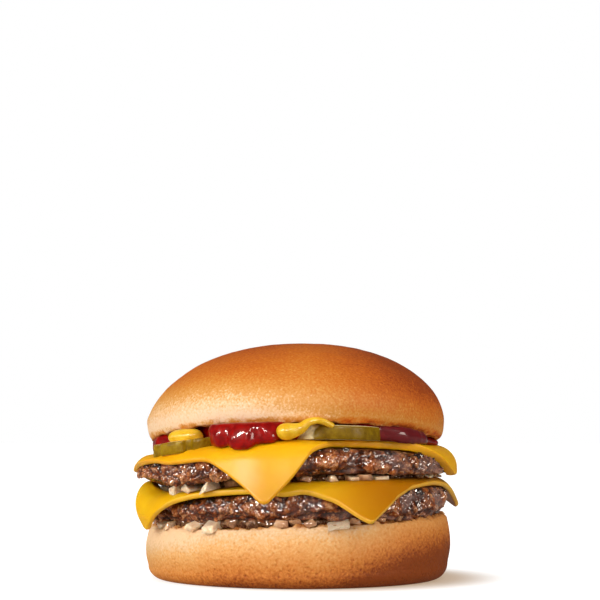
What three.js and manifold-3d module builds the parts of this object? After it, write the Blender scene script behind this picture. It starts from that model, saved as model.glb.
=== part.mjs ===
// A double cheeseburger: a soft bun, two beef patties, two cheese slices draped over them, two beds of diced
// onion, pickle slices, ketchup and mustard. Millimetres, +Z up. The burger stands on Z = 0 with its axis on
// the origin, and its front faces -Y. A bearing is an angle about the axis, counted in degrees from the front
// and growing towards the right, +X.

import * as THREE from 'three';
import { mergeVertices } from 'three/addons/utils/BufferGeometryUtils.js';
import Module from 'manifold-3d';

const wasm = await Module();
wasm.setup();

// Driving dimensions, in millimetres.
const BUN_RADIUS = 47;
const CROWN_RADIUS = 46.25;
const BURGER_HEIGHT = 72.4;
const CHEESE_SIDE = 89;
const CHEESE_THICKNESS = 1.9;
const GAP = 0.45;

const rad = THREE.MathUtils.degToRad;
const { smoothstep, lerp } = THREE.MathUtils;

// ---------------------------------------------------------------------------------------------------------
// The stack: the surfaces where one layer ends. Each is a sheet that is `mid` high on the axis, rises to the
// right and to the back, and sags towards the two sides and towards the front and back.

const CURL_BEARING = -92;
const CURL_HALF_WIDTH = 42;
const STACK = {
  heelTop: { mid: 18.2, right: 1.8, back: 0.5, sideSag: 0.1, endSag: 0.1 },
  lowerPattyBase: { mid: 20.7, right: 0.9, back: 0.4, sideSag: 1.0, endSag: 0.1 },
  lowerPattyTop: { mid: 28.2, right: 2.6, back: 0.2, sideSag: 2.4, endSag: 0.2 },
  upperPattyBase: {
    mid: 32.7,
    right: 2.3,
    back: 0.2,
    sideSag: 3.4,
    endSag: 0.2,
    curl: { from: 41, to: 50, rise: 3.4 },
  },
  upperPattyTop: { mid: 39.8, right: 1.2, back: 0.1, sideSag: 3.6, endSag: -0.5 },
  crownBase: { mid: 48.0, right: -0.7, back: -1.6, sideSag: 5.5, endSag: 1.6, sagPower: 3 },
};

/** How far a surface's left edge curls up at the point (x, y). */
function leftCurl({ from, to, rise }, x, y) {
  return rise * lobe(bearingOf(x, y), CURL_BEARING, CURL_HALF_WIDTH) * smoothstep(Math.hypot(x, y), from, to);
}

/** The height of a stack surface above the point (x, y). */
function heightOf(surface, x, y) {
  const { mid, right, back, sideSag, endSag, sagPower = 2, curl } = surface;
  const across = x / BUN_RADIUS;
  const along = y / BUN_RADIUS;
  const sheet = mid + right * across + back * along - sideSag * Math.abs(across) ** sagPower - endSag * along ** 2;
  return curl ? sheet + leftCurl(curl, x, y) : sheet;
}

/** The same surface raised by a distance. */
function raised(surface, distance) {
  return { ...surface, mid: surface.mid + distance };
}

const LOWER_CHEESE_BASE = { ...raised(STACK.lowerPattyTop, GAP), curl: { from: 41, to: 48, rise: 3.3 } };
const UPPER_CHEESE_BASE = raised(STACK.upperPattyTop, GAP);
const LOWER_CHEESE_TOP = raised(LOWER_CHEESE_BASE, CHEESE_THICKNESS);
const UPPER_CHEESE_TOP = raised(UPPER_CHEESE_BASE, CHEESE_THICKNESS);

// ---------------------------------------------------------------------------------------------------------
// Shared shaping tools.

/** The bearing of a point, in degrees. */
function bearingOf(x, y) {
  return THREE.MathUtils.radToDeg(Math.atan2(x, -y));
}

/** The point at a bearing and a distance from the axis. */
function atBearing(bearing, radius) {
  return new THREE.Vector2(radius * Math.sin(rad(bearing)), -radius * Math.cos(rad(bearing)));
}

/** 1 over the middle of a stretch of bearings, falling smoothly to 0 at half its width on either side. */
function lobe(bearing, middle, halfWidth) {
  const turn = Math.abs(THREE.MathUtils.euclideanModulo(bearing - middle + 180, 360) - 180);
  return 1 - smoothstep(turn, 0.25 * halfWidth, halfWidth);
}

/** A lumpy field between about -1 and 1, made of three crossed waves, whose lumps are `size` long. */
function lumps(x, y, z, size) {
  const k = (2 * Math.PI) / size;
  const first = Math.sin(k * (0.9 * x + 0.4 * y + 0.3 * z) + 1.3);
  const second = Math.sin(k * (-0.5 * x + 0.8 * y + 0.6 * z) + 4.1);
  const third = Math.sin(k * (0.3 * x - 0.6 * y + 0.9 * z) + 2.2);
  return (first * second + second * third + third * first) / 1.6;
}

/** Moves every vertex of a geometry by a rule that changes the point it is given. */
function reshape(geometry, rule) {
  const position = geometry.getAttribute('position');
  const point = new THREE.Vector3();
  for (let i = 0; i < position.count; i += 1) {
    rule(point.fromBufferAttribute(position, i));
    position.setXYZ(i, point.x, point.y, point.z);
  }
  return geometry;
}

/** A profile turned about +Z, in `segments` steps. */
function turned(profile, segments) {
  return new THREE.LatheGeometry(profile, segments).rotateX(Math.PI / 2);
}

/** Points from one end of a quarter or half ellipse to the other, angles in degrees. */
function arc(centre, semiAxes, from, to, steps) {
  return Array.from({ length: steps + 1 }, (_, i) => {
    const angle = rad(lerp(from, to, i / steps));
    return new THREE.Vector2(centre.x + semiAxes.x * Math.cos(angle), centre.y + semiAxes.y * Math.sin(angle));
  });
}

/** Points from the axis out to `radius` at a height, both ends included. */
function flat(radius, height, steps) {
  return Array.from({ length: steps + 1 }, (_, i) => new THREE.Vector2((radius * i) / steps, height));
}

/** The outline of a unit disc from 0 to 1 high, with rings at the given radii and a round rim beyond the last. */
function discProfile(radii, rimSteps) {
  const inner = radii.at(-1);
  const base = radii.map((radius) => new THREE.Vector2(radius, 0));
  const edge = arc(new THREE.Vector2(inner, 0.5), new THREE.Vector2(1 - inner, 0.5), -90, 90, rimSteps);
  const top = radii.map((radius) => new THREE.Vector2(radius, 1)).reverse();
  return [...base, ...edge.slice(1, -1), ...top];
}

/** A geometry as a manifold-3d solid. */
function solidOf(geometry) {
  const bare = new THREE.BufferGeometry().setAttribute('position', geometry.getAttribute('position').clone());
  if (geometry.index) bare.setIndex(geometry.index.clone());
  const merged = mergeVertices(bare, 1e-3);
  const corners = merged.index.array;
  const whole = [];
  for (let i = 0; i < corners.length; i += 3) {
    const [a, b, c] = [corners[i], corners[i + 1], corners[i + 2]];
    if (a !== b && b !== c && c !== a) whole.push(a, b, c);
  }
  const vertProperties = new Float32Array(merged.attributes.position.array);
  return new wasm.Manifold(new wasm.Mesh({ numProp: 3, vertProperties, triVerts: new Uint32Array(whole) }));
}

/** A manifold-3d solid as a geometry, keeping only its largest body. */
function geometryOf(solid) {
  const bodies = solid.decompose().sort((a, b) => b.volume() - a.volume());
  const { numProp, numVert, vertProperties, triVerts } = bodies[0].getMesh();
  const corners = new Float32Array(numVert * 3);
  for (let i = 0; i < numVert; i += 1) corners.set(vertProperties.subarray(i * numProp, i * numProp + 3), i * 3);
  const geometry = new THREE.BufferGeometry().setAttribute('position', new THREE.BufferAttribute(corners, 3));
  return geometry.setIndex(new THREE.BufferAttribute(triVerts, 1));
}

/** A copy of a closed geometry that is larger by a distance all over. */
function grown(geometry, distance) {
  const bare = geometry.clone().deleteAttribute('normal').deleteAttribute('uv');
  const merged = mergeVertices(bare, 1e-3);
  merged.computeVertexNormals();
  const normal = merged.getAttribute('normal');
  const position = merged.getAttribute('position');
  for (let i = 0; i < position.count; i += 1) {
    position.setXYZ(
      i,
      position.getX(i) + distance * normal.getX(i),
      position.getY(i) + distance * normal.getY(i),
      position.getZ(i) + distance * normal.getZ(i),
    );
  }
  return merged;
}

/** A geometry with a clear gap cut around each of its neighbours. */
function clearOf(geometry, neighbours) {
  const room = neighbours.map((neighbour) => solidOf(grown(neighbour, GAP)));
  return geometryOf(room.reduce((solid, cutter) => solid.subtract(cutter), solidOf(geometry)));
}

// ---------------------------------------------------------------------------------------------------------
// The bun.

const HEEL = { footCorner: 4.6, bulge: 0.85, rimCorner: 1.8, segments: 40 };

/** The bottom half of the bun: a thick round cushion with a flat foot and a cut top. */
function bunHeel() {
  const { footCorner, bulge, rimCorner, segments } = HEEL;
  const height = STACK.heelTop.mid;
  const wall = BUN_RADIUS - bulge;
  const footRadius = wall - footCorner;
  const wallTop = height - rimCorner;
  const foot = arc(new THREE.Vector2(footRadius, footCorner), new THREE.Vector2(footCorner, footCorner), -90, 0, 3);
  const side = Array.from({ length: 3 }, (_, i) => {
    const share = (i + 1) / 4;
    return new THREE.Vector2(wall + bulge * Math.sin(Math.PI * share), lerp(footCorner, wallTop, share));
  });
  const rim = arc(new THREE.Vector2(wall - rimCorner, wallTop), new THREE.Vector2(rimCorner, rimCorner), 0, 90, 3);
  const profile = [
    ...flat(footRadius, 0, 2).slice(0, -1),
    ...foot,
    ...side,
    ...rim,
    ...flat(wall - rimCorner, height, 3).slice(0, -1).reverse(),
  ];
  return reshape(turned(profile, segments), (point) => {
    const bearing = rad(bearingOf(point.x, point.y));
    const swell = 1 + 0.005 * Math.sin(3 * bearing + 1) + 0.004 * Math.sin(5 * bearing + 2);
    point.z *= heightOf(STACK.heelTop, point.x, point.y) / height;
    point.x *= swell;
    point.y *= swell;
  });
}

const CROWN = { rimTuck: 2.5, sideLip: 6.3, frontLip: 4.8, shift: -1.0, lean: 2.3, leftSlump: 0.16, segments: 44 };

/** The top half of the bun: an elliptic dome over a cut face, its rim lifted at the front by the filling. */
function bunCrown() {
  const { rimTuck, sideLip, frontLip, shift, lean, leftSlump, segments } = CROWN;
  const inner = 1 - rimTuck / CROWN_RADIUS;
  // Height -1 is the cut face, 0 the widest line and 1 the top of the dome.
  const profile = [
    ...flat(inner, -1, 6).slice(0, -1),
    ...arc(new THREE.Vector2(inner, 0), new THREE.Vector2(1 - inner, 1), -90, 0, 4),
    ...arc(new THREE.Vector2(0, 0), new THREE.Vector2(1, 1), 0, 90, 10).slice(1),
  ];
  return reshape(turned(profile, segments), (point) => {
    const level = point.z;
    const bearing = rad(bearingOf(point.x, point.y));
    const swell = CROWN_RADIUS * (1 + 0.004 * Math.sin(2 * bearing + 1));
    const edge = atBearing(THREE.MathUtils.radToDeg(bearing), CROWN_RADIUS);
    const lip = lerp(sideLip, frontLip, Math.cos(bearing) ** 2);
    const widest = heightOf(STACK.crownBase, edge.x, edge.y) + lip;
    const slump = point.x < 0 ? 1 - leftSlump * Math.max(level, 0) * (1 - level) : 1;
    point.x = point.x * swell * slump + shift + lean * Math.max(level, 0) ** 2;
    point.y *= swell;
    const cut = heightOf(STACK.crownBase, point.x, point.y);
    point.z = level < 0 ? widest + level * (widest - cut) : lerp(widest, BURGER_HEIGHT, level);
  });
}

// ---------------------------------------------------------------------------------------------------------
// The patties.

const LOWER_PATTY = { radius: 46.2, shift: 0.6, base: STACK.lowerPattyBase, top: STACK.lowerPattyTop, seed: 0 };
const UPPER_PATTY = { radius: 48.3, shift: -2.3, base: STACK.upperPattyBase, top: STACK.upperPattyTop, seed: 17 };

const CRAG_SIZE = 11;
const CRAG_DEPTH = 1.1;

/** The distance from the axis to a patty's rim at a bearing. */
function pattyReach(patty, bearing) {
  const angle = rad(bearing);
  const wobble = 0.7 * Math.sin(3 * angle + patty.seed) + 0.5 * Math.sin(7 * angle + 2 * patty.seed);
  return patty.radius + patty.shift * Math.sin(angle) + wobble;
}

/** A pressed beef patty with a rounded, craggy rim. Crags cut inwards, so the cheese above stays clear. */
function beefPatty(patty) {
  return reshape(turned(discProfile([0, 0.34, 0.64, 0.91], 6), 52), (point) => {
    const spread = Math.hypot(point.x, point.y);
    const level = point.z;
    const bearing = bearingOf(point.x, point.y);
    const reach = pattyReach(patty, bearing);
    point.x *= reach;
    point.y *= reach;
    point.z = lerp(heightOf(patty.base, point.x, point.y), heightOf(patty.top, point.x, point.y), level);
    const rough = smoothstep(spread, 0.8, 1) * CRAG_DEPTH;
    const crag = 0.5 + 0.5 * lumps(point.x + patty.seed, point.y, 2 * point.z, CRAG_SIZE);
    const inward = 1 - (rough * crag) / reach;
    point.x *= inward;
    point.y *= inward;
  });
}

// ---------------------------------------------------------------------------------------------------------
// The cheese slices. `turn` is the bearing of a slice's front corner and `shift` moves the slice before it is
// draped. Its corners are counted from the front one towards the right. Each hangs at an angle below level,
// and `reach` is the share of its overhang that is left after it has melted and drawn back.

const LOWER_SLICE = {
  patty: LOWER_PATTY,
  base: LOWER_CHEESE_BASE,
  turn: 21,
  shift: new THREE.Vector2(1.2, -2.8),
  corners: [
    { hang: 42, reach: 0.77, shoulder: 4.5, bend: 6.5 },
    { hang: 34, reach: 0.66, shoulder: 4.5, bend: 6.5 },
    { hang: 60, reach: 0.75, shoulder: 4.5, bend: 6.5 },
    { hang: 102, reach: 0.66, shoulder: 0.8, bend: 5 },
  ],
};
const UPPER_SLICE = {
  patty: UPPER_PATTY,
  base: UPPER_CHEESE_BASE,
  turn: -7,
  shift: new THREE.Vector2(-4.2, -1),
  corners: [
    { hang: 66, reach: 1, shoulder: 4.5, bend: 6.5 },
    { hang: 74, reach: 0.58, shoulder: 4.5, bend: 6.5 },
    { hang: 60, reach: 0.85, shoulder: 4.5, bend: 6.5 },
    { hang: 84, reach: 0.36, shoulder: 5.2, bend: 6.5 },
  ],
};
// Rings from 0 to 1 lie on the patty, those from 1 to 2 go over its shoulder to the edge of the slice.
const SLICE_RINGS = [0, 0.5, 0.9, 1, 1.15, 1.3, 1.45, 1.7, 2];
const SLICE_SEGMENTS = 48;
const SIDE_DRAW = 0.035;

/** The distance from the middle of a slice to its slightly hollow sides, at an angle from its front corner. */
function sliceEdge(fromCorner) {
  const angle = rad(fromCorner - 45);
  const square = CHEESE_SIDE / 2 / Math.max(Math.abs(Math.cos(angle)), Math.abs(Math.sin(angle)));
  return square * (1 - SIDE_DRAW * Math.cos(2 * angle) ** 2);
}

/** A property of the slice's corners, blended between neighbouring corners at a bearing. */
function cornerBlend(slice, bearing, property) {
  let total = 0;
  let weights = 0;
  slice.corners.forEach((corner, i) => {
    const weight = Math.max(0, Math.cos(rad(bearing - slice.turn - 90 * i))) ** 4;
    total += weight * corner[property];
    weights += weight;
  });
  return total / weights;
}

/** The distance from the axis at which a slice starts to bend over the rim of its patty, at a bearing. */
function bendStart(slice, bearing) {
  return pattyReach(slice.patty, bearing) - cornerBlend(slice, bearing, 'shoulder');
}

/** The point of a flat slice on one of its rings, at an angle from its front corner. */
function flatSlicePoint(slice, ring, fromCorner) {
  const direction = atBearing(fromCorner + slice.turn, 1);
  const edge = sliceEdge(fromCorner);
  const start = bendStart(slice, fromCorner + slice.turn) - direction.dot(slice.shift);
  const inner = Math.min(0.95 * edge, start);
  const distance = ring < 1 ? inner * ring : lerp(inner, edge, ring - 1);
  return direction.multiplyScalar(distance).add(slice.shift);
}

/** A soft square slice that lies flat on its patty, bends over the shoulder and hangs down at its corners. */
function cheeseSlice(slice) {
  const under = SLICE_RINGS.map((ring) => new THREE.Vector2(ring, 0));
  const over = SLICE_RINGS.map((ring) => new THREE.Vector2(ring, CHEESE_THICKNESS)).reverse();
  return reshape(turned([...under, ...over], SLICE_SEGMENTS), (point) => {
    const lift = point.z;
    const flatPoint = flatSlicePoint(slice, Math.hypot(point.x, point.y), bearingOf(point.x, point.y));
    const bearing = bearingOf(flatPoint.x, flatPoint.y);
    const rest = Math.min(flatPoint.length(), bendStart(slice, bearing));
    const overhang = (flatPoint.length() - rest) * cornerBlend(slice, bearing, 'reach');
    const bendRadius = cornerBlend(slice, bearing, 'bend');
    const bend = Math.min(overhang / bendRadius, rad(cornerBlend(slice, bearing, 'hang')));
    const straight = overhang - bend * bendRadius;
    const radius = rest + (bendRadius + lift) * Math.sin(bend) + straight * Math.cos(bend);
    const sink = bendRadius * (1 - Math.cos(bend)) + straight * Math.sin(bend);
    const settled = atBearing(bearing, rest);
    const outer = atBearing(bearing, radius);
    point.set(outer.x, outer.y, heightOf(slice.base, settled.x, settled.y) - sink + lift * Math.cos(bend));
  });
}

/** How far sauce sags at a distance from the axis, where the slice under it bends over its patty. */
function shoulderDrop(slice, bearing, distance) {
  const over = Math.max(0, distance - bendStart(slice, bearing) - SAUCE_LAG);
  const radius = cornerBlend(slice, bearing, 'bend') + CHEESE_THICKNESS;
  return radius - Math.sqrt(Math.max(0, radius ** 2 - over ** 2));
}

// ---------------------------------------------------------------------------------------------------------
// Pickles, ketchup and mustard, between the upper slice and the crown.

const LEFT_PICKLE = { centre: new THREE.Vector2(-30.5, -25), radius: 12.5, thickness: 2.9 };
const RIGHT_PICKLE = { centre: new THREE.Vector2(11.7, -33), radius: 12.7, thickness: 4.9 };

/** A round pickle slice with a rippled rim, lying on the upper cheese. */
function pickleSlice({ centre, radius, thickness }) {
  return reshape(turned(discProfile([0, 0.93], 3), 36), (point) => {
    const bearing = rad(bearingOf(point.x, point.y));
    const rippled = radius * (1 + 0.02 * Math.sin(11 * bearing) + 0.02 * Math.sin(4 * bearing + 1));
    point.x = centre.x + point.x * rippled;
    point.y = centre.y + point.y * rippled;
    const floor = heightOf(UPPER_CHEESE_TOP, point.x, point.y) + GAP;
    const room = heightOf(STACK.crownBase, point.x, point.y) - GAP - floor;
    point.z = floor + Math.min(thickness, room) * point.z;
  });
}

const SAUCE_LAG = 0.9;
const KETCHUP_RADIUS = 43.5;
const KETCHUP_LOBES = [
  { bearing: -20, halfWidth: 19, out: 7.6 },
  { bearing: 48, halfWidth: 26, out: 2.0 },
  { bearing: -72, halfWidth: 22, out: 3.0 },
  { bearing: 118, halfWidth: 24, out: 2.4 },
  { bearing: 172, halfWidth: 20, out: 3.2 },
  { bearing: -128, halfWidth: 20, out: 2.6 },
];

/** The distance from the axis to the ketchup's rim at a bearing. */
function ketchupReach(bearing) {
  const pushed = KETCHUP_LOBES.map((each) => each.out * lobe(bearing, each.bearing, each.halfWidth));
  return pushed.reduce((sum, out) => sum + out, KETCHUP_RADIUS);
}

/** The pool of ketchup under the crown, whose lobes are squeezed out past the rim and sag over the cheese. */
function ketchupPool() {
  return reshape(turned(discProfile([0, 0.5, 0.86, 0.93, 0.96], 3), 44), (point) => {
    const bearing = bearingOf(point.x, point.y);
    const level = point.z;
    point.x *= ketchupReach(bearing);
    point.y *= ketchupReach(bearing);
    const drop = shoulderDrop(UPPER_SLICE, bearing, Math.hypot(point.x, point.y));
    const floor = heightOf(UPPER_CHEESE_TOP, point.x, point.y) + GAP - drop;
    point.z = lerp(floor, heightOf(STACK.crownBase, point.x, point.y) - GAP, level);
  });
}

/** A soft slug of sauce along a curve, as wide and high on either side of it as `girth` says. */
function sauceSlug(spine, girth) {
  const frame = { side: new THREE.Vector3(), up: new THREE.Vector3(0, 0, 1) };
  return reshape(new THREE.SphereGeometry(1, 12, 12).rotateZ(Math.PI / 2), (point) => {
    const along = THREE.MathUtils.clamp((point.x + 1) / 2, 0, 1);
    const { width, height } = girth(along);
    const tangent = spine.getTangent(along);
    frame.side.crossVectors(frame.up, tangent).normalize();
    const place = spine.getPoint(along);
    place.addScaledVector(frame.side, point.y * width).addScaledVector(frame.up, point.z * height);
    point.copy(place);
  });
}

/** The oval blob of mustard on the left pickle. */
function leftMustard() {
  const reach = 5.6;
  const middle = new THREE.Vector3(-33.5, -30.6, 43.0);
  const along = new THREE.Vector3(0.8, -0.55, 0.1).normalize().multiplyScalar(reach);
  const spine = new THREE.LineCurve3(middle.clone().sub(along), middle.clone().add(along));
  return sauceSlug(spine, () => ({ width: 3.6, height: 2.2 }));
}

/** The mustard squiggle at the front: a fat drop that thins to a tongue lying up against the crown's rim. */
function rightMustard() {
  const spine = new THREE.CatmullRomCurve3([
    new THREE.Vector3(-6.6, -45.8, 45.0),
    new THREE.Vector3(-2.8, -46.3, 44.8),
    new THREE.Vector3(1.0, -47.2, 45.9),
    new THREE.Vector3(4.6, -47.9, 47.5),
    new THREE.Vector3(9.2, -47.4, 47.7),
  ]);
  const drop = { width: 2.6, height: 2.9 };
  const tongue = { width: 1.6, height: 1.5 };
  return sauceSlug(spine, (along) => {
    const thin = smoothstep(along, 0.25, 0.6);
    return { width: lerp(drop.width, tongue.width, thin), height: lerp(drop.height, tongue.height, thin) };
  });
}

// ---------------------------------------------------------------------------------------------------------
// The beds of diced onion. Each is a thin core with the dice that show at the rim fused on.

// Beyond `rim`, the floor of a bed falls away over the rounded edge of the layer below.
const LOWER_BED = { base: STACK.heelTop, top: STACK.lowerPattyBase, rim: 45, coreRadius: 42, diceRadius: 44.6 };
const UPPER_BED = { base: LOWER_CHEESE_TOP, top: STACK.upperPattyBase, rim: 50, coreRadius: 39, diceRadius: 42.8 };
const RIM_FALL = 0.5;

// The dice at the front: the bearing, how much further out than the rest they lie, their width along the rim
// and height, their roll, and how far their outer end droops.
const LOWER_DICE = [
  { bearing: -66, out: 0.6, width: 3.0, height: 2.8, roll: 12, droop: 0.6 },
  { bearing: -57, out: 1.2, width: 3.4, height: 2.8, roll: -30, droop: 0.8 },
  { bearing: -42, out: 1.6, width: 4.2, height: 3.0, roll: 24, droop: 1.2 },
  { bearing: -35, out: 2.2, width: 3.8, height: 3.2, roll: 3, droop: 1.4 },
  { bearing: -18, out: 0.6, width: 3.2, height: 2.2, roll: -10, droop: 0.2 },
  { bearing: -6, out: 1.0, width: 3.8, height: 2.6, roll: 8, droop: 0.4 },
  { bearing: 4, out: 1.4, width: 3.6, height: 2.9, roll: -15, droop: 0.6 },
  { bearing: 9, out: 0.4, width: 3.2, height: 2.0, roll: 20, droop: 0 },
  { bearing: 13, out: 2.8, width: 6.4, height: 3.0, roll: -20, droop: 2.4 },
  { bearing: 20, out: 0.6, width: 3.4, height: 2.0, roll: 12, droop: 0.2 },
  { bearing: 35, out: 0.8, width: 2.9, height: 2.0, roll: 0, droop: 0.2 },
  { bearing: 46, out: 0.4, width: 4.2, height: 1.8, roll: 6, droop: 0 },
];
const UPPER_DICE = [
  { bearing: -62, out: 2.4, width: 4.0, height: 2.8, roll: -14, droop: 0.6 },
  { bearing: -50, out: 1.0, width: 3.2, height: 2.2, roll: 28, droop: 0.2 },
  { bearing: -39, out: 1.8, width: 3.8, height: 2.8, roll: -28, droop: 0.4 },
  { bearing: 3, out: 0.6, width: 3.2, height: 1.6, roll: 15, droop: 0 },
  { bearing: 13, out: 1.6, width: 3.6, height: 2.6, roll: -3, droop: 0.3 },
  { bearing: 22, out: 1.2, width: 3.4, height: 2.3, roll: 2, droop: 0.3 },
  { bearing: 26, out: 1.4, width: 3.4, height: 2.3, roll: -2, droop: 0.3 },
  { bearing: 34, out: 1.0, width: 5.0, height: 1.6, roll: -4, droop: 0.2 },
];
const HIDDEN_DICE = 11;
const DIE_DEPTH = 6;

/** The dice round the sides and back, spread evenly and varied by a fixed rule. */
function dicePlacesBehind(bed) {
  return Array.from({ length: HIDDEN_DICE }, (_, i) => {
    const wave = Math.sin(12.9 * (i + 1) + bed.coreRadius);
    return {
      bearing: lerp(62, 262, (i + 0.5 + 0.3 * wave) / HIDDEN_DICE),
      out: 0.9 + 0.8 * wave,
      width: 3.6 + 0.8 * Math.sin(7.7 * i),
      height: 2.4 + 0.3 * wave,
      roll: 25 * Math.sin(4.3 * i),
      droop: 0.4 + 0.3 * wave,
    };
  });
}

/** One onion die, set into the rim of a bed's core, its outer end drooping. */
function onionDie(bed, { bearing, out, width, height, roll, droop }) {
  const place = atBearing(bearing, bed.diceRadius + out - DIE_DEPTH / 2);
  const middle = (heightOf(bed.base, place.x, place.y) + heightOf(bed.top, place.x, place.y)) / 2;
  const die = new THREE.BoxGeometry(width, DIE_DEPTH, height, 1, 2, 1).rotateY(rad(roll));
  reshape(die, (point) => {
    point.z -= point.y < 0 ? droop : 0;
  });
  die.rotateZ(rad(bearing)).translate(place.x, place.y, middle);
  return reshape(die, (point) => {
    const fall = RIM_FALL * Math.max(0, Math.hypot(point.x, point.y) - bed.rim);
    const floor = heightOf(bed.base, point.x, point.y) + GAP - fall;
    point.z = THREE.MathUtils.clamp(point.z, floor, heightOf(bed.top, point.x, point.y) - GAP);
  });
}

/** The core of a bed: an uneven wafer that fills most of the room between the layers. */
function onionCore(bed) {
  return reshape(turned(discProfile([0, 0.5, 0.96], 2), 30), (point) => {
    const bearing = rad(bearingOf(point.x, point.y));
    const reach = bed.coreRadius + 0.9 * Math.sin(6 * bearing) + 0.7 * Math.sin(11 * bearing + 2);
    const level = point.z;
    point.x *= reach;
    point.y *= reach;
    const base = heightOf(bed.base, point.x, point.y) + GAP;
    point.z = lerp(base, heightOf(bed.top, point.x, point.y) - GAP, level);
  });
}

/** A bed of diced onion: the core with all its dice fused on. */
function onionBed(bed, frontDice) {
  const dice = [...frontDice, ...dicePlacesBehind(bed)].map((place) => solidOf(onionDie(bed, place)));
  return geometryOf(dice.reduce((solid, die) => solid.add(die), solidOf(onionCore(bed))));
}

// ---------------------------------------------------------------------------------------------------------
// Assembly.

const FINISHES = {
  bun: { color: 0xd98f4a, roughness: 0.6 },
  beef: { color: 0x5b3423, roughness: 0.45 },
  cheese: { color: 0xf2a922, roughness: 0.35 },
  onion: { color: 0xe3d2b4, roughness: 0.4 },
  pickle: { color: 0x8a8130, roughness: 0.35 },
  ketchup: { color: 0x9c0f0c, roughness: 0.15 },
  mustard: { color: 0xe2b52c, roughness: 0.3 },
};

const burger = new THREE.Group();

/** Adds one named piece of the burger. */
function addPiece(name, geometry, finish) {
  const material = new THREE.MeshStandardMaterial({ ...FINISHES[finish], metalness: 0, flatShading: true });
  const mesh = new THREE.Mesh(geometry, material);
  mesh.name = name;
  burger.add(mesh);
}

const heel = bunHeel();
const crown = bunCrown();
const lowerPatty = beefPatty(LOWER_PATTY);
const upperPatty = beefPatty(UPPER_PATTY);
const lowerCheese = cheeseSlice(LOWER_SLICE);
const upperCheese = cheeseSlice(UPPER_SLICE);
const leftPickle = pickleSlice(LEFT_PICKLE);
const rightPickle = pickleSlice(RIGHT_PICKLE);
const mustardOnLeft = leftMustard();
const mustardOnRight = rightMustard();
const ketchup = clearOf(ketchupPool(), [leftPickle, rightPickle, mustardOnLeft, mustardOnRight]);
const lowerOnions = onionBed(LOWER_BED, LOWER_DICE);
const upperOnions = onionBed(UPPER_BED, UPPER_DICE);

addPiece('bun_heel', heel, 'bun');
addPiece('onion_bed_lower', lowerOnions, 'onion');
addPiece('beef_patty_lower', lowerPatty, 'beef');
addPiece('cheese_slice_lower', lowerCheese, 'cheese');
addPiece('onion_bed_upper', upperOnions, 'onion');
addPiece('beef_patty_upper', upperPatty, 'beef');
addPiece('cheese_slice_upper', upperCheese, 'cheese');
addPiece('pickle_slice_left', leftPickle, 'pickle');
addPiece('pickle_slice_right', rightPickle, 'pickle');
addPiece('mustard_left', clearOf(mustardOnLeft, [crown, leftPickle]), 'mustard');
addPiece('mustard_right', clearOf(mustardOnRight, [crown, rightPickle, upperCheese]), 'mustard');
addPiece('ketchup', ketchup, 'ketchup');
addPiece('bun_crown', crown, 'bun');

export default burger;
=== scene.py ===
"""The looks of a double cheeseburger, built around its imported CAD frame.

Shapes are worked out in millimetres and put into meshes in metres. +Z is up, the burger stands on Z = 0 with its
axis on the origin, and its front faces -Y. A bearing is an angle about the axis, counted in degrees from the front
and growing towards the right, +X.
"""

import itertools
import logging
import math
from dataclasses import dataclass, field, replace
from enum import Enum

import bpy
import numpy as np
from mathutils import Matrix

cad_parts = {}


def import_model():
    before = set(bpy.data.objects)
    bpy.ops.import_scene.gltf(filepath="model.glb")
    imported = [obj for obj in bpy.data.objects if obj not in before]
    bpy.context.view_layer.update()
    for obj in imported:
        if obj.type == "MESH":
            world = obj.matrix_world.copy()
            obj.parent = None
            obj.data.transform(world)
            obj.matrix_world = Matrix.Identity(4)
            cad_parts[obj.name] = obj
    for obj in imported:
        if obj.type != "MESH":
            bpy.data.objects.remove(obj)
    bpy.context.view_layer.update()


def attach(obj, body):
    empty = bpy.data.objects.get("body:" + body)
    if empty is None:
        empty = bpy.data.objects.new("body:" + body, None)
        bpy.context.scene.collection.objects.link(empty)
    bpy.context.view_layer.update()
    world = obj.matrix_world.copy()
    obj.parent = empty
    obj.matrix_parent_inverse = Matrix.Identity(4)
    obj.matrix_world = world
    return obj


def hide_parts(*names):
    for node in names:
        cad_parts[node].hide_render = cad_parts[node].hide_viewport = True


Array = np.ndarray
Colour = tuple[float, float, float, float]
Stops = tuple[tuple[float, Colour], ...]

LOG = logging.getLogger("burger")
MM = 0.001
HASH_X, HASH_Y, HASH_Z, HASH_SEED, HASH_SALT = 374761393, 668265263, 2246822519, 3266489917, 2654435761


# ---------------------------------------------------------------------------------------------------------------
# Shaping tools: whole arrays of points at once.


def smoothstep(value: Array | float, low: float, high: float) -> Array:
    """A rise from 0 at low to 1 at high, as t²(3 - 2t)."""
    share = np.clip((np.asarray(value, float) - low) / (high - low), 0.0, 1.0)
    return share * share * (3.0 - 2.0 * share)


def lerp(first: Array | float, last: Array | float, share: Array | float) -> Array:
    """The value a share of the way from first to last."""
    return first + (last - first) * share


def bearing_of(x: Array, y: Array) -> Array:
    """The bearing of points, in degrees."""
    return np.degrees(np.arctan2(x, -y))


def at_bearing(bearing: Array | float, radius: Array | float) -> tuple[Array, Array]:
    """The x and y of points at a bearing and a distance from the axis."""
    angle = np.radians(bearing)
    return radius * np.sin(angle), -radius * np.cos(angle)


def lobe(bearing: Array, middle: float, half_width: float) -> Array:
    """1 over the middle of a stretch of bearings, falling smoothly to 0 at half its width on either side."""
    turn = np.abs((bearing - middle + 180.0) % 360.0 - 180.0)
    return 1.0 - smoothstep(turn, 0.25 * half_width, half_width)


def around(columns: int) -> Array:
    """Evenly spread bearings for the columns of a grid that turns about an axis."""
    return (np.arange(columns) * 360.0 / columns)[None, :]


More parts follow.
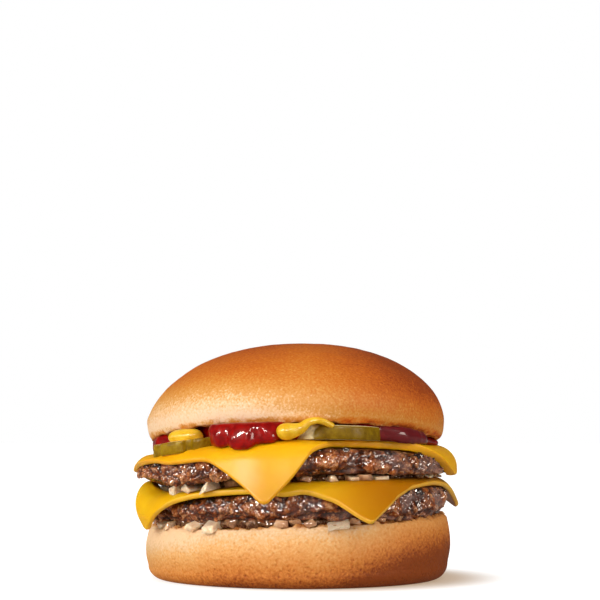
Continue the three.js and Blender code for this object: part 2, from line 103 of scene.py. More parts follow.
@dataclass(frozen=True)
class Grain:
    """Noise in space that is the same on every run, from a hash of whole-numbered cells.

    Attributes:
        seed: Picks one of many fields.
    """

    seed: int

    def _hash(self, cells: Array, salt: int) -> Array:
        """Mixes the bits of each cell's three whole numbers: products with primes, added, shifted and crossed.

        Args:
            cells: Three whole numbers for each cell, in the last axis.
            salt: Picks an independent field.

        Returns:
            One number from 0 to 1 for each cell.
        """
        whole = cells.astype(np.int64).astype(np.uint32)
        mixed = whole[..., 0] * np.uint32(HASH_X) + whole[..., 1] * np.uint32(HASH_Y)
        mixed += whole[..., 2] * np.uint32(HASH_Z)
        mixed += np.uint32((self.seed * HASH_SEED + salt * HASH_SALT) % 2**32)
        mixed = (mixed ^ (mixed >> np.uint32(15))) * np.uint32(HASH_Z)
        mixed = (mixed ^ (mixed >> np.uint32(13))) * np.uint32(HASH_SEED)
        return (mixed ^ (mixed >> np.uint32(16))) / (2.0**32 - 1.0)

    def smooth(self, points: Array, size: float, salt: int = 0) -> Array:
        """Noise from -1 to 1: values at the corners of a cubic lattice, blended by t²(3 - 2t) on each axis.

        Args:
            points: Places, in millimetres, in the last axis.
            size: The side of a lattice cell.
            salt: Picks an independent field.

        Returns:
            One value for each place.
        """
        scaled = points / size
        cell = np.floor(scaled)
        share = scaled - cell
        share = share * share * (3.0 - 2.0 * share)
        total = np.zeros(points.shape[:-1])
        for corner in itertools.product((0, 1), repeat=3):
            weight = np.prod(np.where(np.array(corner, bool), share, 1.0 - share), axis=-1)
            total += weight * self._hash(cell + corner, salt)
        return 2.0 * total - 1.0

    def fractal(self, points: Array, size: float, octaves: int = 3, salt: int = 0) -> Array:
        """A sum of smooth noises, each half as large and half as strong as the one before it."""
        layers = [0.5**k * self.smooth(points, size * 0.5**k, salt + 11 * k) for k in range(octaves)]
        return np.sum(layers, axis=0)

    def warped(self, points: Array, size: float, reach: float) -> Array:
        """The points, each moved by up to a distance in a smoothly changing direction."""
        shifts = [self.smooth(points, size, salt) for salt in (101, 102, 103)]
        return points + reach * np.stack(shifts, axis=-1)

    def pebbles(self, points: Array, size: float, salt: int = 0) -> tuple[Array, Array, Array]:
        """Cells round scattered seeds, one seed to each cube of the lattice.

        Args:
            points: Places, in millimetres, in the last axis.
            size: The side of a lattice cube.
            salt: Picks an independent field.

        Returns:
            The distance to the nearest seed, how much further the second nearest is, both in cubes, and a
            random number from 0 to 1 for each seed.
        """
        scaled = points / size
        home = np.floor(scaled)
        nearest = np.full(points.shape[:-1], 9.0)
        second = nearest.copy()
        tint = np.zeros(points.shape[:-1])
        for step in itertools.product((-1, 0, 1), repeat=3):
            cell = home + step
            seed = np.stack([self._hash(cell, salt + k) for k in (1, 2, 3)], axis=-1)
            distance = np.linalg.norm(scaled - cell - seed, axis=-1)
            second = np.minimum(second, np.maximum(nearest, distance))
            tint = np.where(distance < nearest, self._hash(cell, salt + 4), tint)
            nearest = np.minimum(nearest, distance)
        return nearest, second - nearest, tint


def pushed_out(grid: Array, relief: Array) -> Array:
    """Moves a surface outwards along its normals, the cross products of the steps to the next column and row.

    Args:
        grid: Points by row, column and axis, whose columns close on themselves.
        relief: How far each point moves.

    Returns:
        The moved points.
    """
    across = np.roll(grid, -1, axis=1) - np.roll(grid, 1, axis=1)
    normal = np.cross(across, np.gradient(grid, axis=0))
    normal = normal / np.maximum(np.linalg.norm(normal, axis=-1, keepdims=True), 1e-9)
    return grid + normal * relief[..., None]


def disc_rows(spreads: Array, rim_rows: int, squareness: float = 1.0) -> tuple[Array, Array, Array]:
    """The rows of a unit disc with a round rim, from the middle of its lower face to the middle of its upper face.

    The rim is half an ellipse, whose cosine and sine are raised to a power below 1 to make it squarer.

    Args:
        spreads: Radii of the rows on the flat faces, growing from 0 to where the rim starts.
        rim_rows: The number of rows round the rim.
        squareness: That power.

    Returns:
        Radius, height from 0 to 1, and tilt, which is -1 on the lower face and 1 on the upper, as columns.
    """
    angle = np.radians(np.linspace(-90.0, 90.0, rim_rows + 2)[1:-1])
    inner = spreads[-1]
    rim = inner + (1.0 - inner) * np.cos(angle) ** squareness
    bulge = np.sign(np.sin(angle)) * np.abs(np.sin(angle)) ** squareness
    radius = np.concatenate([spreads, rim, spreads[::-1]])
    height = np.concatenate([np.zeros(len(spreads)), 0.5 + 0.5 * bulge, np.ones(len(spreads))])
    tilt = np.concatenate([-np.ones(len(spreads)), np.sin(angle), np.ones(len(spreads))])
    return radius[:, None], height[:, None], tilt[:, None]


def make_mesh(name: str, points: Array, faces: list[Array], traits: dict[str, Array]) -> bpy.types.Object:
    """A smooth-shaded mesh object at the origin from arrays.

    Args:
        name: The piece's name.
        points: Vertices in millimetres.
        faces: Arrays of vertex numbers, one for each number of corners.
        traits: Named numbers, one for each vertex, that the piece's material reads.

    Returns:
        The object, linked to the scene.
    """
    mesh = bpy.data.meshes.new(name)
    corners = np.concatenate([group.ravel() for group in faces]).astype(np.int32)
    sizes = np.concatenate([np.full(len(group), group.shape[1]) for group in faces])
    starts = np.concatenate([[0], np.cumsum(sizes)[:-1]]).astype(np.int32)
    mesh.vertices.add(len(points))
    mesh.vertices.foreach_set("co", (points * MM).astype(np.float32).ravel())
    mesh.loops.add(len(corners))
    mesh.loops.foreach_set("vertex_index", corners)
    mesh.polygons.add(len(sizes))
    mesh.polygons.foreach_set("loop_start", starts)
    mesh.polygons.foreach_set("use_smooth", np.ones(len(sizes), bool))
    mesh.update(calc_edges=True)
    mesh.validate()
    for trait, values in traits.items():
        attribute = mesh.attributes.new(trait, "FLOAT", "POINT")
        attribute.data.foreach_set("value", values.astype(np.float32).ravel())
    piece = bpy.data.objects.new(name, mesh)
    bpy.context.scene.collection.objects.link(piece)
    return piece


def shell_mesh(name: str, grid: Array, **traits: Array) -> bpy.types.Object:
    """A closed mesh from a grid whose columns close on themselves and whose end rows shrink to poles.

    Args:
        name: The piece's name.
        grid: Points in millimetres, by row, column and axis.
        traits: Named numbers by row and column, for the piece's material.

    Returns:
        The object.
    """
    rows, columns = grid.shape[:2]
    last = 1 + (rows - 2) * columns
    index = np.arange(1, last).reshape(rows - 2, columns)
    beside = np.roll(index, -1, axis=1)
    quads = np.stack([index[:-1], beside[:-1], beside[1:], index[1:]], axis=-1).reshape(-1, 4)
    lower = np.stack([np.zeros(columns, int), beside[0], index[0]], axis=-1)
    upper = np.stack([index[-1], beside[-1], np.full(columns, last)], axis=-1)

    def with_poles(values: Array) -> Array:
        """The grid's values as a list, its end rows averaged into one value each."""
        flat = values.reshape(rows, columns, -1)
        return np.concatenate([flat[:1].mean(1), flat[1:-1].reshape(last - 1, -1), flat[-1:].mean(1)])

    full = {trait: with_poles(np.broadcast_to(values, (rows, columns))) for trait, values in traits.items()}
    return make_mesh(name, with_poles(grid), [quads, lower, upper], full)


# ---------------------------------------------------------------------------------------------------------------
# The stack: the surfaces where one layer ends.


@dataclass(frozen=True)
class Curl:
    """How a sheet's left edge curls up.

    Attributes:
        start: The distance from the axis at which it starts to rise.
        end: The distance at which it has risen in full.
        rise: How far it rises, in the middle of the curl.
        bearing: The middle of the curl.
        half_width: Half its width, in degrees.
    """

    start: float
    end: float
    rise: float
    bearing: float = -92.0
    half_width: float = 42.0

    def height(self, x: Array, y: Array) -> Array:
        """The rise at points: a lobe of bearings times a smooth step outwards."""
        outwards = smoothstep(np.hypot(x, y), self.start, self.end)
        return self.rise * lobe(bearing_of(x, y), self.bearing, self.half_width) * outwards


@dataclass(frozen=True)
class Sheet:
    """The gently bent surface on which a layer lies. Its slopes and sags are those at the bun's radius.

    Attributes:
        mid: Its height on the axis.
        right: How far it rises to the right.
        back: How far it rises to the back.
        side_sag: How far it sags to the left and right.
        end_sag: How far it sags to the front and back.
        sag_power: The power of the sag to the sides.
        curl: The curl of its left edge, if it has one.
    """

    mid: float
    right: float
    back: float
    side_sag: float
    end_sag: float
    sag_power: float = 2.0
    curl: Curl | None = None

    def height(self, x: Array, y: Array) -> Array:
        """The sheet's height: a sloping plane less a power of x and a square of y, over the bun's radius.

        Args:
            x: The points' x.
            y: Their y.

        Returns:
            Their height on the sheet.
        """
        across, along = x / BUN_RADIUS, y / BUN_RADIUS
        sheet = self.mid + self.right * across + self.back * along
        sheet = sheet - self.side_sag * np.abs(across) ** self.sag_power - self.end_sag * along**2
        return sheet + self.curl.height(x, y) if self.curl else sheet

    def raised(self, distance: float, curl: Curl | None = None) -> "Sheet":
        """The same sheet higher up, with a curl of its own if one is given."""
        return replace(self, mid=self.mid + distance, curl=curl or self.curl)


BUN_RADIUS = 47.0
CROWN_RADIUS = 46.25
BURGER_HEIGHT = 72.4
CHEESE_SIDE = 89.0
CHEESE_THICKNESS = 1.9
GAP = 0.45

HEEL_TOP = Sheet(18.2, 1.8, 0.5, 0.1, 0.1)
LOWER_PATTY_BASE = Sheet(20.7, 0.9, 0.4, 1.0, 0.1)
LOWER_PATTY_TOP = Sheet(28.2, 2.6, 0.2, 2.4, 0.2)
UPPER_PATTY_BASE = Sheet(32.7, 2.3, 0.2, 3.4, 0.2, curl=Curl(40.0, 49.0, 3.6, -88.0, 50.0))
UPPER_PATTY_TOP = Sheet(39.8, 1.2, 0.1, 3.6, -0.5)
CROWN_BASE = Sheet(47.5, -0.2, -1.6, 6.2, 1.6, sag_power=3.0)
LOWER_CHEESE_BASE = LOWER_PATTY_TOP.raised(GAP, Curl(41.5, 45.5, 4.2, -95.0, 34.0))
UPPER_CHEESE_BASE = UPPER_PATTY_TOP.raised(GAP)
LOWER_CHEESE_TOP = LOWER_CHEESE_BASE.raised(CHEESE_THICKNESS)
UPPER_CHEESE_TOP = UPPER_CHEESE_BASE.raised(CHEESE_THICKNESS)


@dataclass(frozen=True)
class Bulge:
    """A stretch of a rim that reaches out: its bearing, half its width and how far out it goes."""

    bearing: float
    half_width: float
    out: float

    def reach(self, bearing: Array) -> Array:
        """How far out the rim goes at a bearing."""
        return self.out * lobe(bearing, self.bearing, self.half_width)


# ---------------------------------------------------------------------------------------------------------------
# Materials.


def srgb(red: int, green: int, blue: int) -> Colour:
    """A screen colour as the linear colour that shaders use, by the standard's straight foot and 2.4 power.

    Args:
        red: Its red, 0 to 255.
        green: Its green.
        blue: Its blue.

    Returns:
        The linear colour, opaque.
    """
    parts = [part / 255.0 for part in (red, green, blue)]
    linear = [part / 12.92 if part <= 0.04045 else ((part + 0.055) / 1.055) ** 2.4 for part in parts]
    return (*linear, 1.0)


def stops(*marks: tuple[float, int, int, int]) -> Stops:
    """The stops of a colour ramp, from their places and screen colours."""
    return tuple((place, srgb(*colour)) for place, *colour in marks)


class Reading:
    """A socket of a node tree. Arithmetic on a number socket adds Math nodes."""

    def __init__(self, wiring: "Wiring", socket: bpy.types.NodeSocket) -> None:
        """Wraps a socket of the wiring's tree."""
        self.wiring = wiring
        self.socket = socket

    def _math(self, operation: str, *values: "Reading | float", clamp: bool = False) -> "Reading":
        """A Math node on some values."""
        settings = {"operation": operation, "use_clamp": clamp}
        return self.wiring.node("ShaderNodeMath", settings, dict(enumerate(values)))

    def __add__(self, other: "Reading | float") -> "Reading":
        """self + other."""
        return self._math("ADD", self, other)

    def __mul__(self, other: "Reading | float") -> "Reading":
        """self * other."""
        return self._math("MULTIPLY", self, other)

    def __sub__(self, other: "Reading | float") -> "Reading":
        """self - other."""
        return self._math("SUBTRACT", self, other)

    def __rsub__(self, other: float) -> "Reading":
        """other - self."""
        return self._math("SUBTRACT", other, self)

    __radd__ = __add__
    __rmul__ = __mul__

    def __abs__(self) -> "Reading":
        """The value without its sign."""
        return self._math("ABSOLUTE", self)

    def clamped(self) -> "Reading":
        """The value held between 0 and 1."""
        return self._math("ADD", self, 0.0, clamp=True)

    def step(self, low: float, high: float) -> "Reading":
        """A smooth rise from 0 at low to 1 at high."""
        settings = {"interpolation_type": "SMOOTHSTEP"}
        return self.wiring.node("ShaderNodeMapRange", settings, {"Value": self, "From Min": low, "From Max": high})


class Wiring:
    """A node tree that is built by calls, and the one of its nodes that they feed."""

    def __init__(self, owner: bpy.types.Material | bpy.types.World, end: str) -> None:
        """Turns the owner's nodes on.

        Args:
            owner: A material or the world.
            end: The name of the node to feed.
        """
        owner.use_nodes = True
        self.owner = owner
        self.tree = owner.node_tree
        self.end = self.tree.nodes[end]

    def feed(self, **values: "Reading | float | tuple") -> None:
        """Sets or links sockets of the end node.

        Args:
            values: A number, colour or reading for each, by the socket's name in lower case with underscores.
        """
        sockets = {socket.name.lower().replace(" ", "_"): socket for socket in self.end.inputs}
        for key, value in values.items():
            if isinstance(value, Reading):
                self.tree.links.new(value.socket, sockets[key])
            else:
                sockets[key].default_value = value

    def node(self, kind: str, settings: dict, inputs: dict, output: int | str = 0) -> Reading:
        """Adds any node.

        Args:
            kind: The node's type.
            settings: Its properties, set first. "stops" are a colour ramp's places and colours.
            inputs: Values or readings for its sockets, by name or number.
            output: The socket to read, by name or number.

        Returns:
            That socket.
        """
        made = self.tree.nodes.new(kind)
        for key, value in settings.items():
            if key == "stops":
                self._set_stops(made.color_ramp, value)
            else:
                setattr(made, key, value)
        for key, value in inputs.items():
            if isinstance(value, Reading):
                self.tree.links.new(value.socket, made.inputs[key])
            else:
                made.inputs[key].default_value = value
        return Reading(self, made.outputs[output])

    @staticmethod
    def _set_stops(ramp: bpy.types.ColorRamp, marks: Stops) -> None:
        """Gives a colour ramp its stops.

        Args:
            ramp: The ramp, new.
            marks: The places and colours, in order.
        """
        while len(ramp.elements) < len(marks):
            ramp.elements.new(1.0)
        for element, (place, colour) in zip(ramp.elements, marks):
            element.position = place
            element.color = colour

    def mix(self, factor: Reading | float, first: Reading | Colour, last: Reading | Colour) -> Reading:
        """Two colours blended by a factor."""
        return self.node("ShaderNodeMix", {"data_type": "RGBA"}, {0: factor, 6: first, 7: last}, 2)


class Shader(Wiring):
    """A material with one Principled BSDF, whose patterns lie on the piece's own coordinates."""

    def __init__(self, name: str, **constants: float | tuple) -> None:
        """Makes the material.

        Args:
            name: The material's name.
            constants: Values of the shader's own sockets, by name.
        """
        super().__init__(bpy.data.materials.new(name), "Principled BSDF")
        self.feed(**constants)
        self.place = self.node("ShaderNodeTexCoord", {}, {}, "Object")

    def noise(self, size: float, detail: float = 2.0, roughness: float = 0.5, distortion: float = 0.0) -> Reading:
        """Noise from 0 to 1 whose features are `size` millimetres long."""
        inputs = {"Vector": self.place, "Scale": 1.0 / (size * MM), "Detail": detail, "Roughness": roughness}
        return self.node("ShaderNodeTexNoise", {}, {**inputs, "Distortion": distortion}, "Fac")

    def cells(self, size: float) -> Reading:
        """The distance to scattered seeds `size` millimetres apart, in cells."""
        return self.node("ShaderNodeTexVoronoi", {}, {"Vector": self.place, "Scale": 1.0 / (size * MM)}, "Distance")

    def trait(self, name: str) -> Reading:
        """A number that the mesh holds for each vertex."""
        return self.node("ShaderNodeAttribute", {"attribute_name": name}, {}, "Fac")

    def ramp(self, factor: Reading, marks: Stops) -> Reading:
        """Colours along a factor."""
        return self.node("ShaderNodeValToRGB", {"stops": marks}, {"Fac": factor}, "Color")

    def bump(self, height: Reading, depth: float, strength: float = 1.0) -> Reading:
        """A bumped normal from heights of 0 to 1 that stand `depth` millimetres high."""
        inputs = {"Height": height, "Distance": depth * MM, "Strength": strength}
        return self.node("ShaderNodeBump", {}, inputs, "Normal")

    def finish(self, **links: Reading) -> bpy.types.Material:
        """Feeds the shader's sockets, by name, and gives back the material."""
        self.feed(**links)
        return self.owner


@dataclass(frozen=True)
class BreadFinish:
    """Baked bread: crust coloured by how far it is baked and by painted shade and light, finely mottled, and open
    crumb where it is cut.

    Attributes:
        name: The material's name.
        crust: Colours along the mesh's `bake` trait: how far it is baked, with painted shade and light.
        mottle: How far the fine grain shifts the bake.
        grain: The size of the grain.
        relief: The depth of the fine relief.
        gloss: The weight of the crust's sheen coat.
    """

    name: str
    crust: Stops
    mottle: float
    grain: float
    relief: float
    gloss: float

    def material(self) -> bpy.types.Material:
        """Builds the finish.

        Returns:
            The bread's material.
        """
        shader = Shader(
            self.name,
            coat_roughness=0.52,
            specular_ior_level=0.06,
            subsurface_weight=0.08,
            subsurface_radius=(1.0, 0.45, 0.2),
            subsurface_scale=1.0 * MM,
        )
        crumb = shader.trait("crumb")
        blotch = shader.noise(9.0, 3.0) - 0.5
        fine = shader.noise(self.grain, 2.0, 0.6)
        pits = shader.cells(1.7 * self.grain).step(0.08, 0.5)
        speckle = (fine - 0.5) * 1.7 + (pits - 0.8) * 0.3
        # The crust's colour follows the trait: how far it is baked, and painted shade and light on the bun's sides.
        crust = shader.ramp(shader.trait("bake") + blotch * 0.1 + speckle * self.mottle, self.crust)
        pores = shader.noise(1.3, 4.0, 0.65)
        inside = shader.ramp(pores, stops((0.34, 126, 62, 22), (0.5, 190, 120, 58), (0.68, 232, 182, 116)))
        # The crumb browns where the trait is low, so it takes the painted side shade too.
        inside = shader.mix((1.0 - shader.trait("bake")).clamped() * 0.9, inside, srgb(126, 66, 24))
        colour = shader.mix(crumb, crust, inside)
        relief = fine * 0.6 + pits * 0.4 + pores * crumb * 1.6
        return shader.finish(
            base_color=colour,
            roughness=0.55 + crumb * 0.35 + fine * 0.1,
            coat_weight=(1.0 - crumb).clamped() * self.gloss,
            normal=shader.bump(relief, self.relief),
        )


@dataclass(frozen=True)
class BeefFinish:
    """Seared minced beef: browned, wet lumps, painted shade in its hollows, painted glints and sheen, and char
    patches.

    Attributes:
        name: The material's name.
        lumps: Colours of the meat from its hollows, darkened as painted shade, to its ridges.
        sear: The colour of the char.
    """

    name: str
    lumps: Stops
    sear: Colour

    def material(self) -> bpy.types.Material:
        """Builds the finish.

        Returns:
            The beef's material.
        """
        shader = Shader(
            self.name,
            coat_roughness=0.07,
            coat_ior=1.64,
            specular_ior_level=0.02,
            subsurface_weight=0.06,
            subsurface_radius=(1.0, 0.3, 0.2),
            subsurface_scale=0.8 * MM,
        )
        fine = shader.noise(0.9, 3.0, 0.65)
        # The meat's colour follows how high each point stands, so its hollows get painted shade.
        ridge = shader.trait("ridge") + (fine - 0.5) * 0.7
        meat = shader.ramp(ridge, self.lumps)
        patches = shader.noise(8.0, 3.0, 0.55).step(0.4, 0.6)
        # Greyer in patches towards the right: a painted sheen.
        greyed = shader.mix(patches * shader.trait("cool") * 0.75, meat, srgb(146, 116, 108))
        charred = (shader.trait("char") + (shader.noise(2.0, 3.0) - 0.5) * 1.1).step(0.35, 0.72)
        colour = shader.mix(charred * 0.9, greyed, self.sear)
        wet = shader.noise(2.6, 2.0).step(0.34, 0.56)
        threads = shader.noise(1.5, 2.0, 0.55, 1.4)
        line = abs(threads - 0.5)
        # Cream streaks along the threads, on wet high ground: painted glints, where the coat is strongest too.
        fat = (1.0 - line.step(0.025, 0.08)) * ridge.step(0.3, 0.65) * wet * (1.0 - charred)
        colour = shader.mix(fat * 0.42, colour, srgb(236, 184, 130))
        relief = shader.noise(1.4, 1.0, 0.4) * 0.6 - shader.cells(1.1) * 0.6 - line.step(0.0, 0.12) * 0.15
        return shader.finish(
            base_color=colour,
            roughness=0.5 - wet * 0.2,
            coat_weight=0.12 + (1.0 - line.step(0.05, 0.12)) * (0.3 + wet * 0.55),
            normal=shader.bump(relief, 0.6),
        )


@dataclass(frozen=True)
class CheeseFinish:
    """Half-melted processed cheese: smooth, waxy and slightly see-through, with painted shade in orange-brown.

    Attributes:
        name: The material's name.
        cut: Its colour where it is cut.
        warmth: How far its yellow leans to orange, from 0 to 1.
    """

    name: str
    cut: Colour
    warmth: float

    def material(self) -> bpy.types.Material:
        """Builds the finish.

        Returns:
            The cheese's material.
        """
        shader = Shader(
            self.name,
            subsurface_weight=0.25,
            subsurface_radius=(1.0, 0.6, 0.15),
            subsurface_scale=0.6 * MM,
            coat_roughness=0.3,
            coat_weight=0.07,
            specular_ior_level=0.06,
        )
        cloud = shader.noise(15.0, 3.0)
        body = shader.ramp(cloud, stops((0.34, 224, 168, 4), (0.5, 229, 180, 10), (0.66, 234, 191, 22)))
        body = shader.mix(self.warmth, body, srgb(236, 152, 4))
        # Painted shade, in orange-brown, where the mesh's trait says so.
        body = shader.mix(shader.trait("amber"), body, srgb(176, 108, 0))
        cut = (shader.trait("edge") + (shader.noise(3.0, 3.0) - 0.5) * 0.5).step(0.62, 1.0)
        colour = shader.mix(cut * 0.6, body, self.cut)
        dimples = shader.noise(7.0, 2.0) * 0.8 + shader.noise(0.8, 2.0) * 0.04
        return shader.finish(
            base_color=colour,
            roughness=0.34 + shader.noise(5.0, 2.0) * 0.14,
            normal=shader.bump(dimples, 0.5, 0.6),
        )


@dataclass(frozen=True)
class OnionFinish:
    """Diced onion: moist, whitish, see-through and each die a little different; darker deep in, as painted shade.

    Attributes:
        name: The material's name.
    """

    name: str

    def material(self) -> bpy.types.Material:
        """Builds the finish.

        Returns:
            The onion's material.
        """
        shader = Shader(
            self.name,
            subsurface_weight=0.85,
            subsurface_radius=(1.0, 0.85, 0.7),
            subsurface_scale=0.9 * MM,
            specular_ior_level=0.03,
            coat_weight=0.4,
            coat_roughness=0.09,
        )
        tint = shader.trait("tint") + (shader.noise(2.6, 2.0) - 0.5) * 0.7
        # Dark at the low end for the core and the dice deep under the patty: painted shade.
        pallor = stops((0.0, 78, 40, 22), (0.3, 190, 142, 106), (0.6, 237, 204, 166), (1.0, 251, 234, 206))
        flesh = shader.ramp(tint, pallor)
        veins = shader.noise(1.1, 3.0, 0.6, 1.5).step(0.42, 0.62)
        colour = shader.mix(veins * 0.3, flesh, srgb(206, 158, 104))
        return shader.finish(
            base_color=colour,
            roughness=0.26 + veins * 0.14,
            normal=shader.bump(veins * 0.5 + shader.noise(0.6, 2.0) * 0.5, 0.16),
        )


@dataclass(frozen=True)
class PickleFinish:
    """A wet pickled cucumber slice: mottled green skin round pale, seedy flesh; its rind can take painted shade.

    Attributes:
        name: The material's name.
        depth: How far its rind is darkened as painted shade, from 0 to 1.
    """

    name: str
    depth: float

    def material(self) -> bpy.types.Material:
        """Builds the finish.

        Returns:
            The pickle's material.
        """
        shader = Shader(
            self.name,
            subsurface_weight=0.15,
            subsurface_radius=(0.9, 0.8, 0.2),
            subsurface_scale=0.7 * MM,
            specular_ior_level=0.03,
            coat_weight=0.12,
            coat_ior=1.35,
            coat_roughness=0.26,
        )
        blotch = shader.noise(2.8, 3.0, 0.62)
        rind = shader.ramp(blotch, stops((0.3, 118, 88, 3), (0.5, 140, 107, 6), (0.7, 162, 131, 20)))
        # Darker rind as painted shade, for the slice that gets less light.
        rind = shader.mix(self.depth, rind, srgb(78, 52, 0))
        flesh = shader.ramp(blotch, stops((0.32, 226, 200, 130), (0.66, 250, 236, 188)))
        off_seeds = shader.cells(1.6).step(0.1, 0.4)
        flesh = shader.mix((1.0 - off_seeds) * 0.4, flesh, srgb(150, 124, 46))
        colour = shader.mix(shader.trait("skin"), flesh, rind)
        return shader.finish(
            base_color=colour,
            roughness=0.3 + blotch * 0.15,
            normal=shader.bump(blotch * 0.5 + shader.noise(0.8, 2.0) * 0.5, 0.3),
        )


@dataclass(frozen=True)
class SauceFinish:
    """A thick glossy sauce, darker and greyer where the mesh's `dull` trait says so: painted shade
    and a painted greyish reflection.

    Attributes:
        name: The material's name.
        deep: Its colour where it lies deep.
        thin: Its colour where it lies thin.
        pulp: How strongly its pulp shows, 0 to 1.
        clearness: The weight of its subsurface light.
        haze: The roughness of its wet coat.
    """

    name: str
    deep: Colour
    thin: Colour
    pulp: float
    clearness: float
    haze: float

    def material(self) -> bpy.types.Material:
        """Builds the finish.

        Returns:
            The sauce's material.
        """
        shader = Shader(
            self.name,
            subsurface_weight=self.clearness,
            subsurface_radius=(1.0, 0.3, 0.1),
            subsurface_scale=1.2 * MM,
            specular_ior_level=0.04,
            coat_weight=0.6,
            coat_ior=1.35,
            coat_roughness=self.haze,
        )
        pulp = shader.noise(2.2, 3.0, 0.6)
        colour = shader.mix(pulp.step(0.35, 0.7), self.deep, self.thin)
        # Painted shade and a painted greyish reflection where the trait says so.
        colour = shader.mix(shader.trait("dull") * 0.8, colour, srgb(84, 26, 30))
        return shader.finish(
            base_color=colour,
            roughness=0.24 + pulp * 0.12,
            normal=shader.bump(pulp, 0.3 * self.pulp),
        )


CROWN_BREAD = BreadFinish(
    name="bun-crown",
    crust=stops(
        (0.0, 239, 206, 170), (0.16, 233, 188, 140), (0.32, 214, 153, 80), (0.5, 205, 131, 50),
        (0.7, 197, 104, 25), (0.85, 182, 86, 20), (1.0, 152, 62, 10),
    ),
    mottle=0.34,
    grain=0.65,
    relief=0.13,
    gloss=0.08,
)
HEEL_BREAD = BreadFinish(
    name="bun-heel",
    crust=stops(
        (0.0, 134, 62, 20), (0.14, 168, 88, 32), (0.34, 202, 122, 52), (0.58, 216, 149, 80),
        (0.76, 224, 168, 104), (0.9, 225, 184, 136), (1.0, 236, 196, 152),
    ),
    mottle=0.34,
    grain=0.75,
    relief=0.3,
    gloss=0.03,
)
BEEF = BeefFinish(
    name="beef",
    lumps=stops((0.0, 30, 11, 5), (0.3, 78, 30, 10), (0.55, 130, 60, 21), (0.8, 170, 92, 40), (1.0, 202, 136, 80)),
    sear=srgb(22, 14, 16),
)
KETCHUP = SauceFinish("ketchup", srgb(122, 2, 1), srgb(156, 7, 2), pulp=0.2, clearness=0.06, haze=0.05)
MUSTARD = SauceFinish("mustard", srgb(214, 162, 20), srgb(230, 186, 48), pulp=0.1, clearness=0.15, haze=0.22)


class Slot(Enum):
    """The material slots."""

    BUN = "bun"
    BEEF = "beef"
    CHEESE = "cheese"
    ONION = "onion"
    PICKLE = "pickle"
    KETCHUP = "ketchup"
    MUSTARD = "mustard"


def dress(piece: bpy.types.Object, material: bpy.types.Material, slot: Slot, *nodes: str) -> None:
    """Gives a piece its material and its place in the frame.

    Args:
        piece: The piece.
        material: Its material.
        slot: Not used.
        nodes: The CAD nodes that it stands for.
    """
    piece.data.materials.append(material)
    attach(piece, "root")
    if nodes:
        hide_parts(*nodes)
    LOG.info("%s: %d faces", piece.name, len(piece.data.polygons))


@dataclass
class Layer:
    """A part of the burger that stands for one CAD node.

    Attributes:
        node: The node's name.
    """

    node: str

    @property
    def name(self) -> str:
        """The piece's name: the node's, with hyphens."""
        return self.node.replace("_", "-")


# ---------------------------------------------------------------------------------------------------------------
# The bun.


